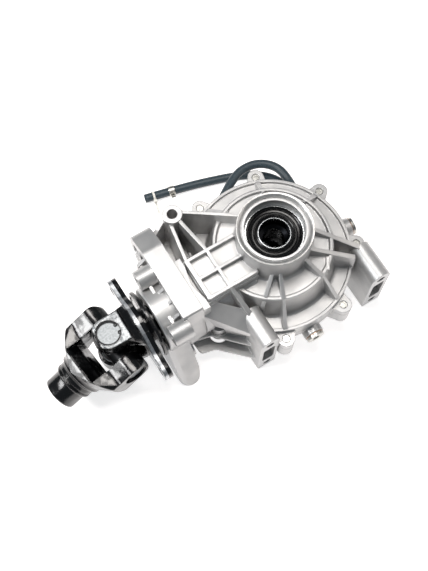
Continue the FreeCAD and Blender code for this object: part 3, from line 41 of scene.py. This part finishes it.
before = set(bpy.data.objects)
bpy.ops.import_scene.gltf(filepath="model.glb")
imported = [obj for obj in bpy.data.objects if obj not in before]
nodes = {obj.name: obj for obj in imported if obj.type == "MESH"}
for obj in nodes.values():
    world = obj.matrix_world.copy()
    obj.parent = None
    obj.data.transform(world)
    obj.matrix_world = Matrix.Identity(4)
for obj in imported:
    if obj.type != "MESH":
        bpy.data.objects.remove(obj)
cadBox = [list(corner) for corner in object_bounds()]
print("frame loaded:", len(nodes), "nodes")

pinionHeight = -0.070
floorHeight = cadBox[0][2]
axleCentre = (0.0, 0.0, 0.0)


def linearColour(text):  # sRGB hex to a linear colour
    channels = [int(text[i:i + 2], 16) / 255 for i in (1, 3, 5)]
    return tuple(c / 12.92 if c <= 0.04045 else ((c + 0.055) / 1.055) ** 2.4 for c in channels) + (1.0,)


def setInputs(tree, node, inputs):
    # inputs holds values, or sockets of other nodes to link
    for name, value in inputs.items():
        if isinstance(value, bpy.types.NodeSocket):
            tree.links.new(value, node.inputs[name])
        else:
            node.inputs[name].default_value = value


def addNode(tree, kind, settings=None, inputs=None):
    node = tree.nodes.new(kind)
    for name, value in (settings or {}).items():
        setattr(node, name, value)
    setInputs(tree, node, inputs or {})
    return node


def newMaterial(name):
    material = bpy.data.materials.new(name)
    material.use_nodes = True
    tree = material.node_tree
    tree.nodes.clear()
    shader = addNode(tree, "ShaderNodeBsdfPrincipled")
    addNode(tree, "ShaderNodeOutputMaterial", inputs={"Surface": shader.outputs[0]})
    return material, tree, shader


def objectPoint(tree):
    return addNode(tree, "ShaderNodeTexCoord").outputs["Object"]


def split(tree, point):
    return addNode(tree, "ShaderNodeSeparateXYZ", inputs={0: point}).outputs


def noise(tree, point, size, detail=3.0, roughness=0.5):  # size of one grain in metres
    return addNode(tree, "ShaderNodeTexNoise", inputs={
        "Vector": point, "Scale": 1.0 / size, "Detail": detail, "Roughness": roughness}).outputs["Fac"]


def ramp(tree, value, low, high, lowTo, highTo):
    return addNode(tree, "ShaderNodeMapRange", inputs={
        "Value": value, "From Min": low, "From Max": high, "To Min": lowTo, "To Max": highTo}).outputs[0]


def spread(tree, grain, low, high):  # the middle of a noise, taken from low to high
    return ramp(tree, grain, 0.3, 0.7, low, high)


def blend(tree, factor, a, b):  # two colours, by number because the sockets of a mix node share their names
    return addNode(tree, "ShaderNodeMix", {"data_type": "RGBA"}, {0: factor, 6: a, 7: b}).outputs[2]


def blendValues(tree, factor, a, b):
    return addNode(tree, "ShaderNodeMix", inputs={0: factor, 2: a, 3: b}).outputs[0]


def mottled(tree, grain, dark, bright):  # blotches of two colours with soft borders
    return blend(tree, ramp(tree, grain, 0.35, 0.65, 0.0, 1.0), linearColour(dark), linearColour(bright))


def maths(tree, operation, a, b=0.0):
    return addNode(tree, "ShaderNodeMath", {"operation": operation}, {0: a, 1: b}).outputs[0]


def vectorMaths(tree, operation, *inputs):
    return addNode(tree, "ShaderNodeVectorMath", {"operation": operation}, dict(enumerate(inputs))).outputs


def above(tree, value, limit):
    return maths(tree, "GREATER_THAN", value, limit)


def below(tree, value, limit):
    return maths(tree, "LESS_THAN", value, limit)


def both(tree, a, b):
    return maths(tree, "MULTIPLY", a, b)


def either(tree, a, b):
    return maths(tree, "MAXIMUM", a, b)


def distanceFrom(tree, point, centre):  # from the upright line through the centre
    shift = vectorMaths(tree, "SUBTRACT", point, centre)[0]
    level = vectorMaths(tree, "MULTIPLY", shift, (1.0, 1.0, 0.0))[0]
    return vectorMaths(tree, "LENGTH", level)["Value"]


def turningMarks(tree, radius, pitch, low, high):  # rings left by a turning tool
    phase = maths(tree, "MULTIPLY", radius, 2 * math.pi / pitch)
    return ramp(tree, maths(tree, "SINE", phase), -1.0, 1.0, low, high)


def rounded(tree, radius):  # shades sharp edges as if they had this radius
    return addNode(tree, "ShaderNodeBevel", {"samples": 6}, {"Radius": radius}).outputs[0]


def edgeMask(tree, soft, sharp, flat):
    # 1 along edges, 0 on flat ground, by the cosine between the rounded normal and the plain one
    facing = addNode(tree, "ShaderNodeNewGeometry").outputs["Normal"]
    cosine = vectorMaths(tree, "DOT_PRODUCT", soft, facing)["Value"]
    return ramp(tree, cosine, flat, sharp, 0.0, 1.0)


def relief(tree, look, height, soft):  # fine relief on top of rounded edges
    return addNode(tree, "ShaderNodeBump", inputs={
        "Height": height, "Distance": look["relief"], "Strength": look["reliefStrength"],
        "Normal": soft}).outputs[0]


# Casting: sand-blasted die-cast aluminium, even and pale, with a painted highlight that makes every edge
# brighter, and with turned and milled faces where other parts seat.
castingLook = {
    "ground": "#C8C7C6", "shade": "#B3B3B3", "cloud": 0.030, "metallic": 0.75,
    # the pale edge colour and its share are a painted highlight along every edge; the other values shape
    # the edge mask
    "edge": "#EFEEED", "edgeShare": 0.75, "edgeRadius": 0.0012, "edgeSharp": 0.80, "edgeFlat": 0.985,
    "grain": 0.0009, "smooth": 0.40, "rough": 0.50, "relief": 0.00025, "reliefStrength": 0.45,
    "milled": "#BEBEBE", "milledSmoother": 0.06, "toolMark": 0.0010, "toolMarkDepth": 0.01,
    # milled: the mouth and the end of the left axle boss, the ear, the mount blocks and the front bosses
    "mouthHeight": -0.0260, "mouthRadius": 0.0365, "bossHeight": -0.0004, "bossRadius": 0.045,
    "earCentre": (-0.080, 0.080, 0.0), "earHeight": -0.0223, "earRadius": 0.0108,
    "blockNear": -0.0918, "snoutFront": -0.1498,
}


def milledCasting(tree, point, axle):  # 1 on the faces that are turned or milled
    look = castingLook
    x, y, z = split(tree, point)
    ear = distanceFrom(tree, point, look["earCentre"])
    milled = both(tree, above(tree, z, look["mouthHeight"]), below(tree, axle, look["mouthRadius"]))
    for other in (
            both(tree, above(tree, z, look["bossHeight"]), below(tree, axle, look["bossRadius"])),
            both(tree, above(tree, z, look["earHeight"]), below(tree, ear, look["earRadius"])),
            below(tree, y, look["blockNear"]),
            below(tree, x, look["snoutFront"])):
        milled = either(tree, milled, other)
    return milled


def castAluminium():
    look = castingLook
    material, tree, shader = newMaterial("blastedCastAluminium")
    point = objectPoint(tree)
    grain = noise(tree, point, look["grain"], detail=2.0, roughness=0.6)
    cloud = noise(tree, point, look["cloud"], detail=2.0)
    soft = rounded(tree, look["edgeRadius"])
    edge = edgeMask(tree, soft, look["edgeSharp"], look["edgeFlat"])
    axle = distanceFrom(tree, point, axleCentre)
    milled = milledCasting(tree, point, axle)
    ground = mottled(tree, cloud, look["shade"], look["ground"])
    # painted highlight: the edges found by the rounded normal are mixed towards the pale edge colour
    groundWithEdgeHighlight = blend(tree, maths(tree, "MULTIPLY", edge, look["edgeShare"]), ground, linearColour(look["edge"]))
    roughness = spread(tree, grain, look["smooth"], look["rough"])
    smoother = maths(tree, "MULTIPLY", milled, look["milledSmoother"])
    depth = look["toolMarkDepth"]
    marks = turningMarks(tree, axle, look["toolMark"], 0.5 - depth, 0.5 + depth)
    setInputs(tree, shader, {
        "Base Color": blend(tree, milled, groundWithEdgeHighlight, linearColour(look["milled"])),
        "Metallic": look["metallic"],
        "Roughness": maths(tree, "SUBTRACT", roughness, smoother),
        "Normal": relief(tree, look, blendValues(tree, milled, grain, marks), soft)})
    return material


# Yokes: forged steel under thick gloss black enamel, a little lumpy, with faces milled through the paint.
enamelLook = {
    "black": "#040405", "paintRoughness": 0.18, "coat": 0.35, "coatRoughness": 0.05,
    "lump": 0.0150, "peel": 0.0024, "peelShare": 0.025, "relief": 0.0032, "reliefStrength": 0.8,
    "steel": "#A0A3A5", "scratch": "#4B4F52", "turned": "#D2D4D6", "turnedDark": "#A8ABAE",
    "mottle": 0.0028, "steelRoughness": 0.42,
    "edgeRadius": 0.0025, "edgeSharp": 0.90, "edgeFlat": 0.97,
    "earReach": 0.0438, "plateFront": -0.1706,  # where the bare faces of the ears and of the plate start
}


def blackEnamel(name, bare=None, bright="steel", dark="scratch"):
    # bare(tree, point) gives a mask of the places where the steel shows
    look = enamelLook
    material, tree, shader = newMaterial(name)
    point = objectPoint(tree)
    lump = noise(tree, point, look["lump"], detail=0.6)
    peel = noise(tree, point, look["peel"], detail=1.0)
    soft = rounded(tree, look["edgeRadius"])
    paint = linearColour(look["black"])
    setInputs(tree, shader, {
        "Base Color": paint,
        "Roughness": look["paintRoughness"],
        "Coat Weight": look["coat"],
        "Coat Roughness": look["coatRoughness"],
        "Normal": relief(tree, look, blendValues(tree, look["peelShare"], lump, peel), soft)})
    if bare is None:
        return material
    paintedEdge = edgeMask(tree, soft, look["edgeSharp"], look["edgeFlat"])
    mask = both(tree, bare(tree, point), maths(tree, "SUBTRACT", 1.0, paintedEdge))
    mottle = noise(tree, point, look["mottle"], detail=4.0, roughness=0.7)
    setInputs(tree, shader, {
        "Base Color": blend(tree, mask, paint, mottled(tree, mottle, look[dark], look[bright])),
        "Metallic": mask,
        "Roughness": ramp(tree, mask, 0.0, 1.0, look["paintRoughness"], look["steelRoughness"])})
    return material


def milledEars(tree, point):  # the flat outer faces of the ears
    height = maths(tree, "ABSOLUTE", maths(tree, "SUBTRACT", split(tree, point)[2], pinionHeight))
    return above(tree, height, enamelLook["earReach"])


def milledPlateFace(tree, point):  # the plate's front and the front part of its rim, turned bright
    return below(tree, split(tree, point)[0], enamelLook["plateFront"])


# Plain metals and rubbers, by how the surface was made
plainLooks = {
    "groundSteel": {
        "colour": "#C9CBCC", "dark": "#A9ACAE", "metallic": 1.0, "roughness": 0.22, "grain": 0.0006},
    "pressedSteel": {
        "colour": "#8E9193", "dark": "#6C7072", "metallic": 1.0, "roughness": 0.42, "grain": 0.0022},
    "machinedSteel": {
        "colour": "#B4B6B8", "dark": "#8E9194", "metallic": 1.0, "roughness": 0.32, "grain": 0.0008},
    "gearSteel": {
        "colour": "#77787A", "dark": "#55575A", "metallic": 1.0, "roughness": 0.34, "grain": 0.0010},
    "zincPlate": {
        "colour": "#D6D5D0", "dark": "#B2B0AA", "metallic": 1.0, "roughness": 0.30, "grain": 0.0012},
    "phosphatedSteel": {
        "colour": "#1B1C1E", "dark": "#121315", "metallic": 0.6, "roughness": 0.42, "grain": 0.0010},
    "dulledCopper": {
        "colour": "#AF9A8B", "dark": "#927D6F", "metallic": 1.0, "roughness": 0.42, "grain": 0.0010},
    "ductileIron": {
        "colour": "#6E6F71", "dark": "#5A5B5D", "metallic": 0.9, "roughness": 0.48, "grain": 0.0012},
    "sealRubber": {
        "colour": "#09090B", "dark": "#050506", "metallic": 0.0, "roughness": 0.28, "grain": 0.0014},
    "hoseRubber": {
        "colour": "#35434B", "dark": "#28343A", "metallic": 0.0, "roughness": 0.46, "grain": 0.0016},
    "nylon": {
        "colour": "#E9E8E2", "dark": "#D8D6CE", "metallic": 0.0, "roughness": 0.35, "grain": 0.0020},
    "gasketFibre": {
        "colour": "#4A4743", "dark": "#3A3733", "metallic": 0.0, "roughness": 0.80, "grain": 0.0008},
}
plainSurface = {  # shared by all of them
    "smoother": 0.05, "rougher": 0.06, "edgeRadius": 0.0004, "relief": 0.00012, "reliefStrength": 0.35,
}


def plainFinish(name):
    look = plainLooks[name] | plainSurface
    material, tree, shader = newMaterial(name)
    grain = noise(tree, objectPoint(tree), look["grain"], roughness=0.6)
    smoothest, roughest = look["roughness"] - look["smoother"], look["roughness"] + look["rougher"]
    setInputs(tree, shader, {
        "Base Color": mottled(tree, grain, look["dark"], look["colour"]),
        "Metallic": look["metallic"],
        "Roughness": spread(tree, grain, smoothest, roughest),
        "Normal": relief(tree, look, grain, rounded(tree, look["edgeRadius"]))})
    return material


# Side gears: oiled steel with painted shade, near black in the bore and over the rest, with the hub's
# ground end bright
hubLook = {
    # the near-black colour is painted shade of the bore over oiled steel
    "oiledSteelPaintedShade": "#121315", "ground": "#9A9D9F", "rimRadius": 0.0171, "topEnd": -0.0121, "bottomEnd": -0.1323,
    "film": 0.004, "smooth": 0.20, "rough": 0.32, "edgeRadius": 0.0005, "relief": 0.0002,
    "reliefStrength": 0.3,
}


def oiledHub():
    look = hubLook
    material, tree, shader = newMaterial("oiledSteelPaintedBoreShade")
    point = objectPoint(tree)
    height = split(tree, point)[2]
    ends = either(tree, above(tree, height, look["topEnd"]), below(tree, height, look["bottomEnd"]))
    ground = both(tree, ends, above(tree, distanceFrom(tree, point, axleCentre), look["rimRadius"]))
    film = noise(tree, point, look["film"])
    setInputs(tree, shader, {
        # painted shade: everything but the hub's ground ends takes the near-black colour, so the bore looks
        # dark
        "Base Color": blend(tree, ground, linearColour(look["oiledSteelPaintedShade"]), linearColour(look["ground"])),
        "Metallic": 1.0,
        "Roughness": spread(tree, film, look["smooth"], look["rough"]),
        "Normal": relief(tree, look, film, rounded(tree, look["edgeRadius"]))})
    return material


# Axle seal: gloss black nitrile rubber moulded on a pressed steel case, whose rim shows as a bright ring
sealLook = {
    "rubber": "#030304", "case": "#C2C4C5", "caseRadius": 0.0303, "specular": 0.35,
    "grain": 0.0016, "smooth": 0.16, "rough": 0.26, "edgeRadius": 0.0003, "relief": 0.0001,
    "reliefStrength": 0.3,
}


def rubberOnSteel():
    look = sealLook
    material, tree, shader = newMaterial("nitrileRubberOnSteelCase")
    point = objectPoint(tree)
    case = above(tree, distanceFrom(tree, point, axleCentre), look["caseRadius"])
    grain = noise(tree, point, look["grain"], detail=2.0)
    setInputs(tree, shader, {
        "Base Color": blend(tree, case, linearColour(look["rubber"]), linearColour(look["case"])),
        "Metallic": case,
        "Specular IOR Level": look["specular"],
        "Roughness": spread(tree, grain, look["smooth"], look["rough"]),
        "Normal": relief(tree, look, grain, rounded(tree, look["edgeRadius"]))})
    return material


# Turned rim of the boss: the casting's own metal, cut with a fine feed
rimLook = {
    "cut": "#D2D1CF", "groove": "#A3A2A0", "smear": 0.006, "grooveShare": 0.6, "metallic": 0.8,
    "roughness": 0.34, "feed": 0.0007, "edgeRadius": 0.0005, "relief": 0.00002, "reliefStrength": 0.4,
}


def turnedAluminium():
    look = rimLook
    material, tree, shader = newMaterial("turnedAluminium")
    point = objectPoint(tree)
    marks = turningMarks(tree, distanceFrom(tree, point, axleCentre), look["feed"], 0.0, 1.0)
    smear = spread(tree, noise(tree, point, look["smear"], detail=2.0), 0.0, look["grooveShare"])
    setInputs(tree, shader, {
        "Base Color": blend(tree, smear, linearColour(look["cut"]), linearColour(look["groove"])),
        "Metallic": look["metallic"],
        "Roughness": look["roughness"],
        "Normal": relief(tree, look, marks, rounded(tree, look["edgeRadius"]))})
    return material


materials = {name: plainFinish(name) for name in plainLooks}
materials["oiledHub"] = oiledHub()
materials["axleSeal"] = rubberOnSteel()
materials["turnedRim"] = turnedAluminium()
materials["casting"] = castAluminium()
materials["enamel"] = blackEnamel("glossBlackEnamel")
materials["flangeYoke"] = blackEnamel("blackEnamelMilledEars", milledEars)
materials["flangePlate"] = blackEnamel("blackEnamelTurnedFace", milledPlateFace, "turned", "turnedDark")

finishes = {  # starts of node names by finish
    "casting": ["gearcase", "side_cover"],
    "enamel": ["socket_yoke", "dust_disc"],
    "flangeYoke": ["flange_yoke"],
    "flangePlate": ["flange_plate"],
    "groundSteel": ["left_bearing_", "right_bearing_", "pinion_rear_", "pinion_front_", "dowel_pins",
                    "lock_pin", "cross_pin", "pinion_inner_spacer", "pinion_outer_spacer"],
    "pressedSteel": ["flange_yoke_cups", "socket_yoke_cups"],
    "machinedSteel": ["left_thrust_washer", "right_thrust_washer", "spider_washers"],
    "gearSteel": ["ring_gear", "pinion_gear", "spider_gear_"],
    "oiledHub": ["left_side_gear", "right_side_gear"],
    "zincPlate": ["cover_bolts", "cover_washers", "filler_plug", "drain_plug", "hose_clamp", "pinion_nut",
                  "pinion_washer", "breather_fitting"],
    "phosphatedSteel": ["ring_gear_bolts", "pinion_snap_ring", "flange_yoke_rings", "socket_yoke_rings",
                        "joint_cross"],
    "dulledCopper": ["filler_washer", "drain_washer"],
    "ductileIron": ["carrier"],
    "axleSeal": ["left_oil_seal", "right_oil_seal"],
    "sealRubber": ["input_seal", "cross_seals"],
    "hoseRubber": ["breather_hose"],
    "nylon": ["hose_tie"],
    "gasketFibre": ["cover_gasket"],
}

finishOf = {start: name for name, starts in finishes.items() for start in starts}

for nodeName, node in nodes.items():
    longest = max((start for start in finishOf if nodeName.startswith(start)), key=len)
    finish = materials[finishOf[longest]]
    if not node.material_slots:
        node.data.materials.append(finish)
    for materialSlot in node.material_slots:
        materialSlot.material = finish
print("finishes set on the frame's nodes")

# Pieces turned round the axle axis: radius and height of each corner of their section
leftSeal = {
    "section": [
        (0.0325, -0.0200), (0.0325, -0.0112), (0.0321, -0.0107), (0.0307, -0.0107), (0.0303, -0.0113),
        (0.0300, -0.0126), (0.0287, -0.0133), (0.0276, -0.0126), (0.0271, -0.0133), (0.0254, -0.0136),
        (0.0248, -0.0128), (0.0242, -0.0136), (0.0226, -0.0136), (0.0219, -0.0126), (0.0212, -0.0130),
        (0.0200, -0.0119), (0.0189, -0.0114), (0.0183, -0.0120), (0.0183, -0.0185), (0.0210, -0.0195),
        (0.0210, -0.0155), (0.0295, -0.0155), (0.0295, -0.0200),
    ],
    "sides": 120, "sharpFrom": 40,  # degrees
}
bossRim = {
    "section": [
        (0.0418, 0.0000), (0.0420, 0.0003), (0.0420, 0.0017), (0.0416, 0.0021), (0.0398, 0.0021),
        (0.0394, 0.0018), (0.0375, 0.0002), (0.0374, 0.0000),
    ],
    "sides": 120, "sharpFrom": 40,
}


def turnedPiece(name, shape, material, body):
    points, faces = [], []
    sides, count = shape["sides"], len(shape["section"])
    for step in range(sides):
        angle = 2 * math.pi * step / sides
        points += [(radius * math.cos(angle), radius * math.sin(angle), height)
                   for radius, height in shape["section"]]
        here, following = step * count, (step + 1) % sides * count
        for corner in range(count):
            after = (corner + 1) % count
            faces.append((here + corner, following + corner, following + after, here + after))
    mesh = bpy.data.meshes.new(name)
    mesh.from_pydata(points, [], faces)
    work = bmesh.new()
    work.from_mesh(mesh)
    bmesh.ops.recalc_face_normals(work, faces=work.faces)
    work.to_mesh(mesh)
    work.free()
    mesh.shade_smooth()
    mesh.set_sharp_from_angle(angle=math.radians(shape["sharpFrom"]))
    mesh.materials.append(material)
    piece = bpy.data.objects.new(name, mesh)
    bpy.context.scene.collection.objects.link(piece)
    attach(piece, body)
    return piece


sealPiece = turnedPiece("axleSeal", leftSeal, materials["axleSeal"], "housing")
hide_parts("left_oil_seal")
turnedPiece("bossRim", bossRim, materials["turnedRim"], "housing")
print("axle seal and boss rim turned")

# Breather hose: smooth extruded rubber, cut square at its free end
hose = {
    "route": [
        (-0.0030, 0.0985, -0.1050), (0.0249, 0.1179, -0.1060), (0.0488, 0.1203, -0.1060),
        (0.0662, 0.1127, -0.1060), (0.0777, 0.0976, -0.1060), (0.0785, 0.0755, -0.1060),
        (0.0810, 0.0685, -0.1203), (0.0830, 0.0755, -0.1346), (0.0785, 0.0920, -0.1346),
        (0.0680, 0.1080, -0.1346), (0.0461, 0.1236, -0.1346), (0.0106, 0.1364, -0.1342),
        (-0.0320, 0.1488, -0.1337), (-0.0757, 0.1589, -0.1337),
    ],
    "diameter": 0.0106, "wall": 0.0019, "sides": 28, "stepsPerSpan": 12,
}


def hoseCurve():
    curve = bpy.data.curves.new("hoseRoute", "CURVE")
    curve.dimensions = "3D"
    spline = curve.splines.new("NURBS")
    spline.points.add(len(hose["route"]) - 1)
    for controlPoint, place in zip(spline.points, hose["route"]):
        controlPoint.co = (*place, 1.0)
    spline.order_u = 3  # a quadratic curve, which keeps close to the route
    spline.use_endpoint_u = True
    curve.resolution_u = hose["stepsPerSpan"]
    routeObject = bpy.data.objects.new("hoseRoute", curve)
    bpy.context.scene.collection.objects.link(routeObject)
    return routeObject


def tubeTree():
    # sweeps a circle along the curve that it is given
    tree = bpy.data.node_groups.new("sweptTube", "GeometryNodeTree")
    interface = tree.interface
    interface.new_socket("Geometry", in_out="INPUT", socket_type="NodeSocketGeometry")
    radiusInput = interface.new_socket("Radius", in_out="INPUT", socket_type="NodeSocketFloat")
    sidesInput = interface.new_socket("Sides", in_out="INPUT", socket_type="NodeSocketInt")
    materialInput = interface.new_socket("Material", in_out="INPUT", socket_type="NodeSocketMaterial")
    interface.new_socket("Geometry", in_out="OUTPUT", socket_type="NodeSocketGeometry")
    given = addNode(tree, "NodeGroupInput").outputs
    circle = addNode(tree, "GeometryNodeCurvePrimitiveCircle",
                     inputs={"Resolution": given["Sides"], "Radius": given["Radius"]})
    tube = addNode(tree, "GeometryNodeCurveToMesh",
                   inputs={"Curve": given["Geometry"], "Profile Curve": circle.outputs[0]})
    real = addNode(tree, "GeometryNodeRealizeInstances", inputs={0: tube.outputs[0]})
    coated = addNode(tree, "GeometryNodeSetMaterial",
                     inputs={"Geometry": real.outputs[0], "Material": given["Material"]})
    addNode(tree, "NodeGroupOutput", inputs={"Geometry": coated.outputs[0]})
    return tree, (radiusInput.identifier, sidesInput.identifier, materialInput.identifier)


def plainMesh(source, name):
    # the evaluated source as a plain mesh object of its own
    evaluated = source.evaluated_get(bpy.context.evaluated_depsgraph_get())
    mesh = bpy.data.meshes.new_from_object(evaluated)
    piece = bpy.data.objects.new(name, mesh)
    bpy.context.scene.collection.objects.link(piece)
    return piece


def buildHose():
    routeObject = hoseCurve()
    bare = plainMesh(routeObject, "hoseLine")
    bpy.data.objects.remove(bare)
    tree, (radiusId, sidesId, materialId) = tubeTree()
    modifier = routeObject.modifiers.new("tube", "NODES")
    modifier.node_group = tree
    modifier[radiusId] = hose["diameter"] / 2
    modifier[sidesId] = hose["sides"]
    modifier[materialId] = materials["hoseRubber"]
    piece = plainMesh(routeObject, "breatherHose")
    bpy.data.objects.remove(routeObject)
    piece.data.polygons.foreach_set("use_smooth", [True] * len(piece.data.polygons))
    wall = piece.modifiers.new("wall", "SOLIDIFY")
    wall.thickness = hose["wall"]
    wall.offset = -1.0  # inwards
    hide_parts("breather_hose")
    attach(piece, "housing")


buildHose()

# Stage, light and camera
stage = {
    "floorSize": 6.0, "floorColour": "#F1ECEA", "floorRoughness": 0.9, "backdrop": "#FFFFFF",
    "glow": 0.70,  # strength of the floor's own light near the object
    "nearEdge": 0.45, "farEdge": 1.40,  # it rises to that of the backdrop between these distances
    "worldColour": "#DCE8F2", "worldStrength": 0.20,
    "lampAim": (-0.06, 0.0, -0.07),
    "lamps": [
        # name, place, size, power in watts, colour
        ("leftSoftbox", (-0.905, 0.364, 0.848), 0.45, 12.0, "#FFFFFF"),
        ("topSoftbox", (0.02, 0.26, 1.35), 0.55, 11.5, "#FFFBF7"),
        ("rightSoftbox", (1.05, -0.35, 0.70), 0.80, 4.0, "#FFF8F2"),
    ],
}
view = {
    "place": (-0.2713, -0.3039, 0.9436), "right": (0.8525, -0.5227, 0.0083), "up": (0.4898, 0.8043, 0.3364),
    "lens": 61.14, "sensorWidth": 36.0, "clipStart": 0.05,
}


def buildFloor():
    mesh = bpy.data.meshes.new("floor")
    half = stage["floorSize"] / 2
    corners = [(x, y, floorHeight) for x, y in ((-half, -half), (half, -half), (half, half), (-half, half))]
    mesh.from_pydata(corners, [], [(0, 1, 2, 3)])
    floor = bpy.data.objects.new("floor", mesh)
    bpy.context.scene.collection.objects.link(floor)
    material, tree, shader = newMaterial("whitePaperFloor")
    setInputs(tree, shader, {
        "Base Color": linearColour(stage["floorColour"]), "Roughness": stage["floorRoughness"]})
    # what the camera and reflections see of the floor is lifted to white, and keeps the shadow
    rays = addNode(tree, "ShaderNodeLightPath").outputs
    shown = either(tree, rays["Is Camera Ray"], rays["Is Glossy Ray"])
    reach = distanceFrom(tree, objectPoint(tree), axleCentre)
    level = ramp(tree, reach, stage["nearEdge"], stage["farEdge"], stage["glow"], 1.0)
    glow = addNode(tree, "ShaderNodeEmission", inputs={
        "Color": linearColour(stage["backdrop"]), "Strength": both(tree, shown, level)})
    lifted = addNode(tree, "ShaderNodeAddShader", inputs={0: shader.outputs[0], 1: glow.outputs[0]})
    output = next(node for node in tree.nodes if node.type == "OUTPUT_MATERIAL")
    setInputs(tree, output, {"Surface": lifted.outputs[0]})
    mesh.materials.append(material)


def buildLight():
    world = bpy.data.worlds.new("studio")
    world.use_nodes = True
    tree = world.node_tree
    tree.nodes.clear()
    rays = addNode(tree, "ShaderNodeLightPath").outputs
    ambient = addNode(tree, "ShaderNodeBackground", inputs={
        "Color": linearColour(stage["worldColour"]), "Strength": stage["worldStrength"]})
    white = addNode(tree, "ShaderNodeBackground", inputs={
        "Color": linearColour(stage["backdrop"]), "Strength": 1.0})
    mixed = addNode(tree, "ShaderNodeMixShader", inputs={
        0: rays["Is Camera Ray"], 1: ambient.outputs[0], 2: white.outputs[0]})
    addNode(tree, "ShaderNodeOutputWorld", inputs={"Surface": mixed.outputs[0]})
    bpy.context.scene.world = world
    for name, place, size, power, colour in stage["lamps"]:
        lamp = bpy.data.lights.new(name, "AREA")
        lamp.shape = "SQUARE"
        lamp.size = size
        lamp.energy = power
        lamp.color = linearColour(colour)[:3]
        lampObject = bpy.data.objects.new(name, lamp)
        lampObject.location = place
        aim = Vector(stage["lampAim"]) - Vector(place)
        lampObject.rotation_euler = aim.to_track_quat("-Z", "Y").to_euler()
        bpy.context.scene.collection.objects.link(lampObject)


def buildCamera():
    right = Vector(view["right"]).normalized()
    up = (Vector(view["up"]) - right * right.dot(Vector(view["up"]))).normalized()
    back = right.cross(up)
    turn = Matrix((right, up, back)).transposed().to_4x4()
    data = bpy.data.cameras.new("camera")
    data.lens = view["lens"]
    data.sensor_width = view["sensorWidth"]
    data.clip_start = view["clipStart"]
    cameraObject = bpy.data.objects.new("camera", data)
    cameraObject.matrix_world = Matrix.Translation(view["place"]) @ turn
    bpy.context.scene.collection.objects.link(cameraObject)
    bpy.context.scene.camera = cameraObject


buildFloor()
buildLight()
buildCamera()
bpy.context.scene.view_settings.view_transform = "Standard"
print("stage, lamps and camera ready")
